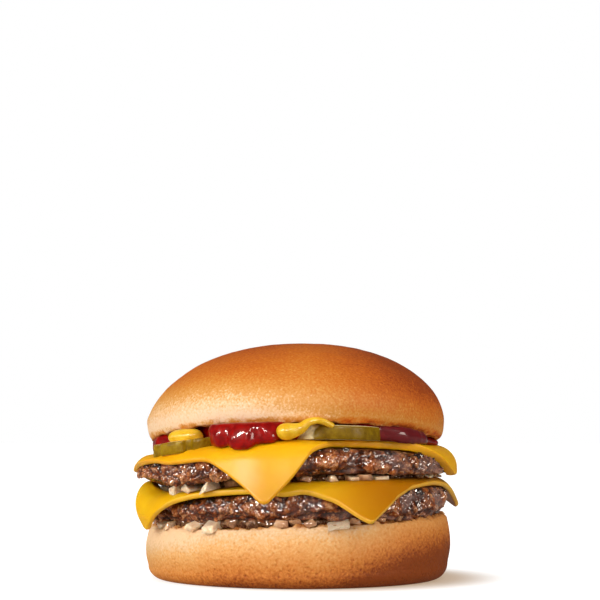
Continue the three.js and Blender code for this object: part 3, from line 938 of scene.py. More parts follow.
@dataclass
class BunHeel(Layer):
    """The bottom half of the bun: a thick cushion with a flat foot and a toasted cut top.

    Attributes:
        foot_corner: The radius of the corner round its foot.
        bulge: How far its wall bulges.
        rim_corner: The radius of its upper rim.
        columns: The number of columns of its grid.
        grain: The noise that its surface follows.
    """

    node: str = "bun_heel"
    foot_corner: float = 4.6
    bulge: float = 0.85
    rim_corner: float = 1.8
    columns: int = 900
    grain: Grain = field(default_factory=lambda: Grain(11))

    def profile(self) -> tuple[Array, Array, Array]:
        """The outline from the foot's middle to the top's middle.

        The foot is flat, its corner a quarter circle, the wall bulges by half a sine wave, and the rim is a
        quarter circle.

        Returns:
            Radius, height and crumb, 0 on the crust and 1 on the cut face, as columns.
        """
        wall = BUN_RADIUS - self.bulge
        wall_top = HEEL_TOP.mid - self.rim_corner
        corner = np.radians(np.linspace(-90.0, 0.0, 15))
        share = np.linspace(0.0, 1.0, 42)[1:-1]
        edge = np.radians(np.linspace(0.0, 90.0, 12))
        foot = np.array([0.0, 12.0, 24.0, 34.0, 39.0])
        top = np.concatenate([np.linspace(wall - self.rim_corner, 34.0, 30)[1:], [28.0, 20.0, 11.0, 0.0]])
        radius = np.concatenate([
            foot,
            wall - self.foot_corner + self.foot_corner * np.cos(corner),
            wall + self.bulge * np.sin(np.pi * share),
            wall - self.rim_corner + self.rim_corner * np.cos(edge),
            top,
        ])
        heights = np.concatenate([
            np.zeros(len(foot)),
            self.foot_corner + self.foot_corner * np.sin(corner),
            lerp(self.foot_corner, wall_top, share),
            wall_top + self.rim_corner * np.sin(edge),
            np.full(len(top), HEEL_TOP.mid),
        ])
        crumb = np.concatenate([
            np.zeros(len(foot) + len(corner) + len(share)),
            smoothstep(np.degrees(edge), 48.0, 84.0),
            np.ones(len(top)),
        ])
        return radius[:, None], heights[:, None], crumb[:, None]

    def build(self) -> None:
        """Builds and dresses the bottom half.

        Its plan is a circle with two faint waves. The crust has fine pores, and the cut face is torn open, most
        at its fringe. It is baked darker towards the foot. It is painted darker to the right, as painted shade,
        and paler on the left, as painted light from the left.
        """
        radius, height, crumb = self.profile()
        bearing = around(self.columns)
        angle = np.radians(bearing)
        swell = 1.0 + 0.005 * np.sin(3.0 * angle + 1.0) + 0.004 * np.sin(5.0 * angle + 2.0)
        x, y = at_bearing(bearing, radius)
        z = height * HEEL_TOP.height(x, y) / HEEL_TOP.mid
        grid = np.stack([x * swell, y * swell, np.broadcast_to(z, x.shape)], axis=-1)
        rough = self.grain.fractal(grid, 3.4, 3)
        near, _, _ = self.grain.pebbles(grid, 1.0)
        pores = smoothstep(near, 0.1, 0.55) - 0.75
        cut = self.grain.fractal(grid, 2.2, 4, 50)
        off_foot = smoothstep(grid[..., 2], 0.3, 2.5)
        crust_relief = (0.08 * rough + 0.08 * pores) * off_foot
        border = smoothstep(crumb, 0.02, 0.3) * (1.0 - crumb)
        crumb = np.clip(crumb + 0.6 * self.grain.fractal(grid, 4.0, 2, 70) * border, 0.0, 1.0)
        fringe = smoothstep(np.hypot(x, y), 40.0, 43.5)
        crumb_relief = lerp(0.5, 0.9, fringe) * cut - 0.12 + 0.3 * fringe
        grid = pushed_out(grid, lerp(crust_relief, crumb_relief, crumb))
        # Painted shade darkens the right side and painted light pales the left, as the light falls from the left.
        toast = 0.6 * smoothstep(grid[..., 0], 4.0, 48.0) - 0.34 * smoothstep(-grid[..., 0], 16.0, 44.0)
        bake = np.clip(grid[..., 2] / HEEL_TOP.mid, 0.0, 1.0) - toast + 0.06 * self.grain.fractal(grid, 20.0, 2, 90)
        piece = shell_mesh(self.name, grid, crumb=crumb, bake=bake)
        dress(piece, HEEL_BREAD.material(), Slot.BUN, self.node)


@dataclass
class BunCrown(Layer):
    """The top half of the bun: an elliptic dome over a cut face, its rim lifted at the front by the filling.

    Attributes:
        rim_tuck: The radius by which its rim is tucked in under the widest line.
        side_lip: How far the widest line lies above the cut face at the sides.
        front_lip: How far it does at the front and back.
        shift: How far it lies to the right.
        lean: How far the top of the dome leans to the right.
        left_slump: The share by which the left of the dome slumps.
        columns: The number of columns of its grid.
        grain: The noise that its surface follows.
    """

    node: str = "bun_crown"
    rim_tuck: float = 2.5
    side_lip: float = 6.3
    front_lip: float = 4.8
    shift: float = -1.0
    lean: float = 2.3
    left_slump: float = 0.16
    columns: int = 480
    grain: Grain = field(default_factory=lambda: Grain(23))

    def profile(self) -> tuple[Array, Array]:
        """The unit outline: level -1 is the cut face, 0 the widest line and 1 the top of the dome.

        Returns:
            Radius and level, as columns.
        """
        inner = 1.0 - self.rim_tuck / CROWN_RADIUS
        face = np.concatenate([[0.0, 0.25, 0.5], np.linspace(0.68, inner, 22)[:-1]])
        tuck = np.radians(np.linspace(-90.0, 0.0, 22))
        dome = np.radians(np.linspace(0.0, 90.0, 90)[1:])
        radius = np.concatenate([face, inner + (1.0 - inner) * np.cos(tuck), np.cos(dome)])
        level = np.concatenate([np.full(len(face), -1.0), np.sin(tuck), np.sin(dome)])
        return radius[:, None], level[:, None]

    def build(self) -> None:
        """Builds and dresses the top half.

        Below the widest line the height runs from the cut face to that line, above it to the top. The dome
        leans to the right with the square of its level, and slumps a little on the left. It is baked darker
        towards the top and at the edge of the cut. It is painted darker on the right, as painted shade, and
        paler low down at the front left, as a painted highlight where the light from the left falls.
        """
        radius, level = self.profile()
        bearing = around(self.columns)
        angle = np.radians(bearing)
        swell = CROWN_RADIUS * (1.0 + 0.004 * np.sin(2.0 * angle + 1.0))
        unit_x, unit_y = at_bearing(bearing, radius)
        rise = np.maximum(level, 0.0)
        slump = np.where(unit_x < 0.0, 1.0 - self.left_slump * rise * (1.0 - level), 1.0)
        x = unit_x * swell * slump + self.shift + self.lean * rise**2
        y = unit_y * swell
        edge_x, edge_y = at_bearing(bearing, CROWN_RADIUS)
        widest = CROWN_BASE.height(edge_x, edge_y) + lerp(self.side_lip, self.front_lip, np.cos(angle) ** 2)
        cut = CROWN_BASE.height(x, y)
        z = np.where(level < 0.0, widest + level * (widest - cut), lerp(widest, BURGER_HEIGHT, level))
        grid = np.stack([x, y, z], axis=-1)
        crumb = smoothstep(-level + 0.05 * self.grain.fractal(grid, 2.4, 2, 40), 0.9, 0.99)
        skin = 0.16 * self.grain.fractal(grid, 9.0, 3) + 0.03 * self.grain.smooth(grid, 1.2, 60)
        open_crumb = 0.4 * self.grain.fractal(grid, 2.6, 4, 50) + 0.1
        away = smoothstep(1.0 - level, 0.0, 0.02)
        grid = pushed_out(grid, lerp(skin, open_crumb, crumb) * away)
        bake = 0.38 + 0.42 * level + 0.05 * self.grain.fractal(grid, 26.0, 2, 90)
        # Darker on the right, up the dome and low down: painted shade on the side away from the light.
        bake = bake + 0.46 * smoothstep(grid[..., 0], 0.0, 44.0) * smoothstep(level, -0.1, 0.4)
        bake = bake + 0.28 * smoothstep(grid[..., 0], -20.0, 30.0) * (1.0 - smoothstep(level, -0.3, 0.4))
        bake = bake + 0.12 * lobe(bearing, -60.0, 70.0) * smoothstep(level, 0.25, 0.6)
        # Paler low down at the front left: a painted highlight where the light from the left falls.
        bake = bake - 0.22 * lobe(bearing, -40.0, 75.0) * (1.0 - smoothstep(level, 0.0, 0.45))
        bake = bake + 0.5 * smoothstep(-level, 0.5, 0.92) * (1.0 + 0.7 * self.grain.smooth(grid, 1.6, 80))
        piece = shell_mesh(self.name, grid, crumb=crumb, bake=np.clip(bake, 0.0, 1.0))
        dress(piece, CROWN_BREAD.material(), Slot.BUN, self.node)


# ---------------------------------------------------------------------------------------------------------------
# The patties.


@dataclass
class BeefPatty(Layer):
    """A pressed beef patty with a craggy, glossy rim whose lower part is drawn in under a ledge.

    Attributes:
        radius: Its radius.
        shift: How far its rim is shifted to the right.
        base: The surface that it lies on.
        top: Its upper surface.
        seed: Picks its noise and the phase of its waves.
        char: How charred it is all over.
        ledge: The level of the ledge, from 0 at its foot to 1 at its top.
        droop: How far its outer rim droops.
        puff_size: The size of the puffs of its meat.
        lump_size: The size of the lumps.
        bead_size: The size of the beads.
        columns: The number of columns of its grid.
    """

    radius: float
    shift: float
    base: Sheet
    top: Sheet
    seed: int
    char: float
    ledge: float
    droop: float
    puff_size: float = 4.6
    lump_size: float = 3.3
    bead_size: float = 1.2
    columns: int = 1300

    def reach(self, bearing: Array) -> Array:
        """The distance from the axis to the rim: a radius, a shift to one side and two waves.

        Args:
            bearing: Where on the rim.

        Returns:
            The distance.
        """
        angle = np.radians(bearing)
        wobble = 0.7 * np.sin(3.0 * angle + self.seed) + 0.5 * np.sin(7.0 * angle + 2.0 * self.seed)
        return self.radius + self.shift * np.sin(angle) + wobble

    def crags(self, grid: Array, level: Array) -> tuple[Array, Array]:
        """The relief of minced meat.

        Puffs are the size of a fractal noise, without its sign. On them lie lumps and smaller beads, each a round
        cap parted from the next by a cleft, strong in some patches and weak in others. Below the ledge, which
        wanders up and down round the rim, the face is smoother and lies further in.

        Args:
            grid: The plain surface's points.
            level: Their height in the patty, from 0 to 1.

        Returns:
            The height of the relief in millimetres, and how high each point stands among the crags, 0 to 1, a little
            less under the ledge. The meat's colour follows it, which paints shade into the hollows and under the
            ledge.
        """
        grain = Grain(100 + self.seed)
        bent = grain.warped(grid, 4.5, 1.6)
        near, gap, tint = grain.pebbles(bent, self.lump_size)
        lump = np.clip(1.0 - near**2, 0.0, 1.0) * smoothstep(gap, 0.0, 0.3) * (0.5 + tint)
        bead_near, bead_gap, bead_tint = grain.pebbles(grain.warped(grid, 1.9, 0.5), self.bead_size, 20)
        bead = np.clip(1.0 - 1.1 * bead_near**2, 0.0, 1.0) * smoothstep(bead_gap, 0.0, 0.35) * (0.35 + bead_tint)
        puffs = np.abs(grain.fractal(bent, self.puff_size, 3, 30)) - 0.28
        large = grain.fractal(grid, 12.0, 2, 40)
        fine = grain.fractal(grid, 0.9, 2, 60)
        patchy = lerp(0.5, 1.0, smoothstep(grain.smooth(grid, 7.0, 80), -0.4, 0.4))
        patchy = patchy * lerp(1.0, 0.55, smoothstep(grid[..., 0], 0.0, 26.0))
        around_rim = grid * np.array([1.0, 1.0, 0.0])
        edge = self.ledge + 0.2 * grain.smooth(around_rim, 9.0, 90) + 0.07 * grain.smooth(around_rim, 2.4, 91)
        under = 1.0 - smoothstep(level - edge, -0.09, 0.09)
        lumpy = patchy * (0.75 * lump + 0.7 * bead)
        relief = (0.7 * large + 1.1 * puffs + lumpy + 0.1 * fine) * (1.0 - 0.45 * under) - 0.8 * under - 0.7
        # Low in the hollows and under the ledge, where the meat's colour paints shade.
        ridge = 0.2 + 0.45 * puffs + 0.3 * lump + 0.45 * patchy * bead + 0.1 * fine - 0.06 * under
        return relief, np.clip(ridge, 0.0, 1.0)

    def build(self) -> None:
        """Builds and dresses the patty.

        The relief fades out on its flat faces, and only hollows stay there. Burnt beads stand along its upper rim.
        """
        spreads = np.concatenate([np.linspace(0.0, 0.72, 4), np.linspace(0.8, 0.91, 7)])
        spread, level, tilt = disc_rows(spreads, 52, 0.85)
        bearing = around(self.columns)
        x, y = at_bearing(bearing, spread * self.reach(bearing))
        plan = np.stack([x, y, np.zeros_like(x)], axis=-1)
        uneven = 1.0 + 0.7 * Grain(60 + self.seed).fractal(plan, 6.0, 2)
        droop = self.droop * smoothstep(np.hypot(x, y), 38.0, 44.0) * uneven
        z = lerp(self.base.height(x, y) - droop, self.top.height(x, y), level)
        grid = np.stack([x, y, z], axis=-1)
        relief, ridge = self.crags(grid, level)
        rim = 1.0 - smoothstep(np.abs(tilt), 0.78, 1.0)
        outer = smoothstep(spread, 0.74, 0.88)
        relief = np.where(relief > 0.0, relief * rim, relief * lerp(0.25, 1.0, rim)) * outer
        near, _, chance = Grain(140 + self.seed).pebbles(grid, 2.1)
        burnt = smoothstep(chance, 0.7, 0.76) * np.clip(1.0 - 1.4 * near**2, 0.0, 1.0)
        burnt = burnt * smoothstep(tilt, 0.35, 0.6) * (1.0 - smoothstep(tilt, 0.9, 0.97))
        grid = pushed_out(grid, relief + 0.8 * burnt)
        char = self.char + 0.5 * smoothstep(tilt, 0.3, 0.95) + 1.2 * burnt
        # Greyer towards the right: a painted sheen on the meat.
        cool = lerp(0.1, 0.8, smoothstep(grid[..., 0], -10.0, 24.0))
        piece = shell_mesh(self.name, grid, ridge=ridge, char=char, cool=cool)
        dress(piece, BEEF.material(), Slot.BEEF, self.node)


# ---------------------------------------------------------------------------------------------------------------
# The cheese slices.


@dataclass(frozen=True)
class Corner:
    """How a corner of a slice hangs.

    Attributes:
        hang: Its angle below level, in degrees.
        reach: The share of its overhang that is left after it has melted and drawn back.
        shoulder: How far inside the patty's rim the bend starts.
        bend: The radius of the bend.
        edge: The share of the slice's thickness that is left at its edge.
        round: The radius of its tip, seen from above.
    """

    hang: float
    reach: float
    shoulder: float = 4.5
    bend: float = 6.5
    edge: float = 0.72
    round: float = 2.6


@dataclass
class CheeseSlice(Layer):
    """A soft square slice that lies flat on its patty, bends over the shoulder and hangs at its corners.

    Attributes:
        patty: The patty under it.
        base: The surface that it lies on.
        turn: The bearing of its first corner.
        shift: The x and y of its middle.
        corners: Its corners, counted from the first towards the right.
        seed: Picks its noise.
        cut: Its colour along the cut edge.
        tongues: Stretches of its edge that reach further out, or less far, before it is draped.
        amber: How far its front right and right corners are turned orange-brown as painted shade, 0 to 1.
        warmth: How far its yellow leans to orange, from 0 to 1.
        side_draw: The share by which the middle of each side is drawn in.
        edge_round: How far the rounding of its edge reaches in.
        tip_thinning: How much rounder than its tips the line is along which it thins.
        columns: The number of columns of its grid.
    """

    patty: BeefPatty
    base: Sheet
    turn: float
    shift: tuple[float, float]
    corners: tuple[Corner, ...]
    seed: int
    cut: Colour
    tongues: tuple[Bulge, ...] = ()
    amber: float = 0.0
    warmth: float = 0.0
    side_draw: float = 0.035
    edge_round: float = 0.7
    tip_thinning: float = 14.0
    columns: int = 640

    def blend(self, bearing: Array, trait: str) -> Array:
        """A property of the corners, weighted by the fourth power of the cosine to each corner.

        Args:
            bearing: Where on the slice.
            trait: The name of the property.

        Returns:
            Its value there.
        """
        values = np.array([getattr(corner, trait) for corner in self.corners])
        turn = np.radians(bearing[..., None] - self.turn - 90.0 * np.arange(len(values)))
        weights = np.maximum(0.0, np.cos(turn)) ** 4
        return (weights * values).sum(axis=-1) / weights.sum(axis=-1)

    def bend_start(self, bearing: Array) -> Array:
        """The distance from the axis at which the slice starts to bend over its patty's rim."""
        return self.patty.reach(bearing) - self.blend(bearing, "shoulder")

    def edge(self, from_corner: Array, more_round: float = 0.0) -> Array:
        """The distance from the slice's middle to its edge: a square with round corners and hollow sides.

        Args:
            from_corner: The angle from the first corner.
            more_round: How much larger than its own the radius of each tip is taken.

        Returns:
            The distance, where the ray meets the square's side or, near a corner, the tip's circle.
        """
        angle = np.radians(from_corner - 45.0)
        cosine, sine = np.abs(np.cos(angle)), np.abs(np.sin(angle))
        half = CHEESE_SIDE / 2.0
        square = half / np.maximum(cosine, sine)
        tip = self.blend(from_corner + self.turn, "round") + more_round
        centre = half - tip
        towards = centre * (cosine + sine)
        room = np.maximum(towards**2 - 2.0 * centre**2 + tip**2, 0.0)
        round_corner = towards + np.sqrt(room)
        in_corner = square * np.minimum(cosine, sine) > centre
        outline = np.where(in_corner, round_corner, square)
        return outline * (1.0 - self.side_draw * np.cos(2.0 * angle) ** 2)

    def flat_points(self) -> tuple[Array, Array, Array, Array]:
        """The slice before it is draped: rings of points on its lower face, round its edge and on its upper face.

        It thins towards its edge, along a line that is rounder than its tips so that no crease runs into them.
        Away from the edge its lower face lies down on the patty.

        Returns:
            The points' x and y, their height above the lower face, and a trait that is 1 at the edge.
        """
        from_corner = around(self.columns)
        heading = from_corner + self.turn
        east, north = at_bearing(heading, 1.0)
        tongues = sum(tongue.reach(heading) for tongue in self.tongues)
        outline = self.edge(from_corner) + tongues
        spots = outline[..., None] * np.stack([east, north, east], axis=-1)
        outline = outline + 0.3 * Grain(330 + self.seed).smooth(spots, 7.0)
        thinned = self.edge(from_corner, self.tip_thinning) + tongues
        edge = outline - self.edge_round
        start = self.bend_start(heading) - (east * self.shift[0] + north * self.shift[1])
        inner = np.minimum(0.95 * edge, start)
        rings = np.concatenate([[0.0, 0.4, 0.7, 0.85, 0.93], np.linspace(1.0, 2.0, 40)])[:, None]
        face = np.where(rings < 1.0, inner * rings, lerp(inner, edge, np.maximum(rings - 1.0, 0.0)))
        angle = np.radians(np.linspace(-90.0, 90.0, 11)[1:-1])[:, None]
        rim = edge + self.edge_round * np.cos(angle)
        distance = np.concatenate([face, rim, face[::-1]])
        lower = np.zeros_like(rings)
        middle = 0.5 + 0.5 * np.sin(angle)
        level = np.concatenate([lower, middle, lower + 1.0])
        near_edge = smoothstep(distance, thinned - 9.0, thinned + 3.0)
        thickness = CHEESE_THICKNESS * lerp(1.0, self.blend(heading, "edge"), near_edge)
        lift = thickness * level - 0.9 * GAP * (1.0 - near_edge) * (1.0 - level)
        trim = smoothstep(distance, outline - 1.0, outline - 0.2)
        return east * distance + self.shift[0], north * distance + self.shift[1], lift, trim

    def drape(self, x: Array, y: Array, lift: Array) -> Array:
        """Lays flat points over the patty.

        A point keeps its bearing. Beyond the start of the bend, its overhang is wrapped round an arc until it
        reaches its corner's hanging angle, and goes straight down that slope from there.

        Args:
            x: The flat points' x.
            y: Their y.
            lift: Their height above the slice's lower face.

        Returns:
            The draped points.
        """
        bearing = bearing_of(x, y)
        length = np.hypot(x, y)
        rest = np.minimum(length, self.bend_start(bearing))
        overhang = (length - rest) * self.blend(bearing, "reach")
        bend_radius = self.blend(bearing, "bend")
        bend = np.minimum(overhang / bend_radius, np.radians(self.blend(bearing, "hang")))
        straight = overhang - bend * bend_radius
        radius = rest + (bend_radius + lift) * np.sin(bend) + straight * np.cos(bend)
        sink = bend_radius * (1.0 - np.cos(bend)) + straight * np.sin(bend)
        height = self.base.height(*at_bearing(bearing, rest)) - sink + lift * np.cos(bend)
        return np.stack([*at_bearing(bearing, radius), height], axis=-1)

    def build(self) -> None:
        """Builds and dresses the slice.

        Its surface swells softly, outwards only, so it stays off the patty. Painted shade turns it orange-brown
        at its front right and right corners, a little at its front tip, and on its lower face where the right
        corner shows it.
        """
        x, y, lift, trim = self.flat_points()
        flat = np.stack([x, y, np.zeros_like(x)], axis=-1)
        swell = 0.22 * (1.0 + Grain(300 + self.seed).fractal(flat, 15.0, 2))
        grid = self.drape(x, y, lift + swell * smoothstep(lift / CHEESE_THICKNESS, 0.0, 1.0))
        bearing = bearing_of(x, y)
        under = 1.0 - smoothstep(lift, 0.0, 0.3)
        tip = smoothstep(np.hypot(x - self.shift[0], y - self.shift[1]), 48.0, 63.0)
        # Painted shade in orange-brown: the front right and right corners, the front tip, and the lower face at the
        # right.
        amber = np.max([
            self.amber * lobe(bearing, 46.0, 56.0),
            self.amber * lobe(bearing, 112.0, 36.0),
            0.5 * tip * lobe(bearing, 0.0, 60.0),
            under * lobe(bearing, 104.0, 40.0),
        ], axis=0)
        piece = shell_mesh(self.name, grid, edge=trim * (1.0 - under), amber=amber)
        dress(piece, CheeseFinish(self.name, self.cut, self.warmth).material(), Slot.CHEESE, self.node)


# ---------------------------------------------------------------------------------------------------------------
# The onion beds.


@dataclass(frozen=True)
class Die:
    """A die of onion at the rim.

    Attributes:
        bearing: Where it lies.
        out: How much further out than the rest it lies.
        width: Its size along the rim.
        height: Its height.
        roll: Its turn about its own length, in degrees.
        droop: How far its outer end droops.
        depth: Its size towards the axis.
        tint: How pale it is, from 0 to 1: its own tone, and painted shade on dice deeper under the patty.
    """

    bearing: float
    out: float
    width: float
    height: float
    roll: float
    droop: float
    depth: float = 6.0
    tint: float = 0.8


class DieTemplate:
    """A rounded die: a cube of three by three facets a side, each point drawn in to a sphere of a high power."""

    def __init__(self, inner: float = 0.8, power: float = 8.0) -> None:
        """Works out the points and faces.

        Args:
            inner: How far from the middle the lines between facets run, as a share of half the side.
            power: The power of the norm that rounds the cube.
        """
        first, second = np.divmod(np.arange(9), 3)
        rings = np.zeros((3, 2, 9, 4, 3), int)  # axis, end, facet, corner and coordinate
        for axis in range(3):
            rings[axis, 1, ..., axis] = 3
            rings[axis, ..., (axis + 1) % 3] = first[:, None] + np.array([0, 1, 1, 0])
            rings[axis, ..., (axis + 2) % 3] = second[:, None] + np.array([0, 0, 1, 1])
        rings[:, 0] = rings[:, 0, :, ::-1].copy()
        keys, numbers = np.unique(rings.reshape(-1, 3) @ np.array([1, 4, 16]), return_inverse=True)
        marks = np.array([-1.0, -inner, inner, 1.0])
        cube = marks[np.stack([keys % 4, keys // 4 % 4, keys // 16], axis=-1)]
        self.points = 0.5 * cube / (np.abs(cube) ** power).sum(axis=-1, keepdims=True) ** (1.0 / power)
        self.quads = numbers.reshape(-1, 4)

    def corner_weights(self) -> Array:
        """How much each of the cube's 8 corners moves each point: products of its shares on the three axes.

        Returns:
            Weights by corner and point.
        """
        share = self.points + 0.5
        corners = np.array(list(itertools.product((0, 1), repeat=3)), bool)
        return np.where(corners[:, None], share[None], 1.0 - share[None]).prod(axis=-1)


@dataclass
class OnionBed(Layer):
    """A bed of diced onion: a core between two layers, and dice that show all round its rim.

    Attributes:
        base: The surface that it lies on.
        top: The surface that lies on it.
        rim: The distance from the axis beyond which the dice are free above and below.
        core_radius: The radius of the core.
        dice_radius: The distance from the axis to the dice's outer ends.
        front: The dice in front.
        seed: Picks its noise and its random draws.
        rim_fall: How fast the room for the dice grows beyond the rim.
        behind: The number of dice round the sides and back.
        inner: The number of dice further in.
    """

    base: Sheet
    top: Sheet
    rim: float
    core_radius: float
    dice_radius: float
    front: tuple[Die, ...]
    seed: int
    rim_fall: float = 0.5
    behind: int = 36
    inner: int = 24

    def dice(self) -> list[Die]:
        """All the dice: the named ones in front, more round the sides and back, and a row further in.

        Returns:
            The dice, in the order of their random draws.
        """
        rng = np.random.default_rng(self.seed)
        found = list(self.front)
        for step in range(self.behind):
            bearing = lerp(66.0, 286.0, (step + 0.5) / self.behind) + rng.uniform(-2.0, 2.0)
            found.append(Die(
                float(bearing), rng.uniform(-1.2, 1.0), rng.uniform(2.4, 4.6), rng.uniform(1.6, 2.8),
                rng.uniform(-35.0, 35.0), rng.uniform(0.0, 0.7), rng.uniform(3.0, 6.0), rng.uniform(0.2, 0.8),
            ))
        # The inner dice are darker, as painted shade.
        for step in range(self.inner):
            bearing = 360.0 * step / self.inner + rng.uniform(-3.0, 3.0)
            found.append(Die(
                float(bearing), rng.uniform(-3.4, -1.0), rng.uniform(2.6, 4.4), rng.uniform(1.8, 3.0),
                rng.uniform(-35.0, 35.0), 0.0, rng.uniform(3.0, 5.0), rng.uniform(0.05, 0.3),
            ))
        return found

    def die_points(self) -> tuple[Array, Array, Array]:
        """The corners of all the dice, held between the layers.

        Each die is the template with its 8 corners moved at random, scaled, curled like the onion's layers, rolled
        about its length, drooped at its outer end, turned to its bearing and moved to its place.

        Returns:
            Points, quads and a tint for each point.
        """
        rng = np.random.default_rng(self.seed + 1)
        template = DieTemplate()
        dice = self.dice()
        numbers = np.array([[d.bearing, d.out, d.width, d.height, d.roll, d.droop, d.depth, d.tint] for d in dice])
        bearing, out, width, height, roll, droop, depth, tint = (column[:, None] for column in numbers.T)
        warp = np.einsum("cp,ncd->npd", template.corner_weights(), rng.normal(0.0, 0.14, (len(dice), 8, 3)))
        unit = template.points[None] + warp
        curl = rng.uniform(-0.5, 0.5, (len(dice), 1))
        spot_x, spot_y = at_bearing(bearing, self.dice_radius)
        height = np.minimum(height, self.top.height(spot_x, spot_y) - self.base.height(spot_x, spot_y) + 0.9)
        x, y, z = unit[..., 0] * width, unit[..., 1] * depth, unit[..., 2] * height
        z = z + curl * height * (unit[..., 0] ** 2 - 0.1)
        spin = np.radians(roll)
        x, z = x * np.cos(spin) + z * np.sin(spin), z * np.cos(spin) - x * np.sin(spin)
        z = z - np.where(y < 0.0, droop, 0.0)
        angle = np.radians(bearing)
        x, y = x * np.cos(angle) - y * np.sin(angle), x * np.sin(angle) + y * np.cos(angle)
        place_x, place_y = at_bearing(bearing, self.dice_radius + out - depth / 2.0)
        middle = 0.5 * (self.base.height(place_x, place_y) + self.top.height(place_x, place_y))
        x, y, z = x + place_x, y + place_y, z + middle
        flare = self.rim_fall * np.maximum(0.0, np.hypot(x, y) - self.rim)
        floor = self.base.height(x, y) + 0.1 - flare
        ceiling = self.top.height(x, y) - 0.1 + flare
        points = np.stack([x, y, np.clip(z, floor, np.maximum(ceiling, floor + 0.3))], axis=-1).reshape(-1, 3)
        corners = template.points.shape[0]
        quads = (template.quads[None] + corners * np.arange(len(dice))[:, None, None]).reshape(-1, 4)
        return points, quads, tint.ravel().repeat(corners)

    def build(self) -> None:
        """Builds the core and the dice, and dresses both. The dice stand for the node."""
        points, quads, tint = self.die_points()
        spread, level, tilt = disc_rows(np.array([0.0, 0.4, 0.7, 0.9, 0.96]), 12)
        bearing = around(480)
        x, y = at_bearing(bearing, spread * (self.core_radius + 1.0))
        z = lerp(self.base.height(x, y) + 0.1, self.top.height(x, y) - 0.1, level)
        grid = np.stack([x, y, z], axis=-1)
        matter = Grain(self.seed).fractal(grid, 2.6, 3)
        rim = 1.0 - smoothstep(np.abs(tilt), 0.6, 1.0)
        grid = pushed_out(grid, 1.2 * matter * rim)
        # The core is dark brown: meat juice and onion, and painted shade between the dice.
        core = shell_mesh(self.name + "-core", grid, tint=0.16 * matter - 0.2)
        dress(core, OnionFinish(self.name + "-core").material(), Slot.ONION)
        piece = make_mesh(self.name, points, [quads], {"tint": tint})
        dress(piece, OnionFinish(self.name).material(), Slot.ONION, self.node)


# ---------------------------------------------------------------------------------------------------------------
# Pickles, ketchup and mustard.


@dataclass
class PickleSlice(Layer):
    """A round pickle slice with a rippled, warty rim, lying on the upper cheese.

    Attributes:
        centre: The x and y of its middle.
        radius: Its radius.
        thickness: Its thickness.
        seed: Picks its noise.
        notches: Where its rim is nicked, as bearings from its own middle.
        nick: How deep the nicks are.
        bare: Where its rind is cut away, which shows its flesh and slopes outwards to the foot.
        sag: How far its outer rim sags over the shoulder of the cheese.
        depth: How far its rind is darkened as painted shade, from 0 to 1.
        columns: The number of columns of its grid.
    """

    centre: tuple[float, float]
    radius: float
    thickness: float
    seed: int
    notches: tuple[float, ...]
    nick: float
    bare: Bulge
    sag: float
    depth: float
    columns: int = 360

    def build(self) -> None:
        """Builds and dresses the slice. Its rim follows two waves less its nicks, with small warts on the skin."""
        spreads = np.concatenate([np.linspace(0.0, 0.8, 10), np.linspace(0.84, 0.94, 6)])
        spread, level, tilt = disc_rows(spreads, 24, 0.6)
        bearing = around(self.columns)
        angle = np.radians(bearing)
        rippled = self.radius * (1.0 + 0.006 * self.nick * np.sin(13.0 * angle) + 0.02 * np.sin(4.0 * angle + 1.0))
        nicks = sum((self.nick * lobe(bearing, notch, 9.0) for notch in self.notches), np.zeros(1))
        slope = self.bare.reach(bearing) * spread**6 * (1.0 - level)
        dx, dy = at_bearing(bearing, spread * (rippled - nicks) + slope)
        x, y = self.centre[0] + dx, self.centre[1] + dy
        floor = UPPER_CHEESE_TOP.height(x, y) + 0.1
        top = floor + np.minimum(self.thickness, CROWN_BASE.height(x, y) - GAP - floor)
        floor = floor - self.sag * smoothstep(np.hypot(x, y), 42.0, 51.0)
        grid = np.stack([x, y, lerp(floor, top, level)], axis=-1)
        grain = Grain(500 + self.seed)
        near, _, _ = grain.pebbles(grid, 2.4)
        side = 1.0 - smoothstep(np.abs(tilt), 0.86, 0.99)
        warts = 0.12 * self.nick * np.clip(1.0 - near**2, 0.0, 1.0) * side
        relief = warts + 0.08 * self.nick * grain.fractal(grid, 3.0, 3, 30) - 0.15
        grid = pushed_out(grid, relief * smoothstep(spread, 0.3, 0.6))
        ragged = 1.0 + 0.7 * grain.fractal(grid, 2.5, 2, 60)
        torn = smoothstep(self.bare.reach(bearing) / self.bare.out * ragged, 0.3, 0.6)
        piece = shell_mesh(self.name, grid, skin=side * (1.0 - torn))
        dress(piece, PickleFinish(self.name, self.depth).material(), Slot.PICKLE, self.node)


@dataclass(frozen=True)
class Blob:
    """A round swelling of ketchup: its bearing, height, radius and how far it stands out."""

    bearing: float
    height: float
    radius: float
    out: float


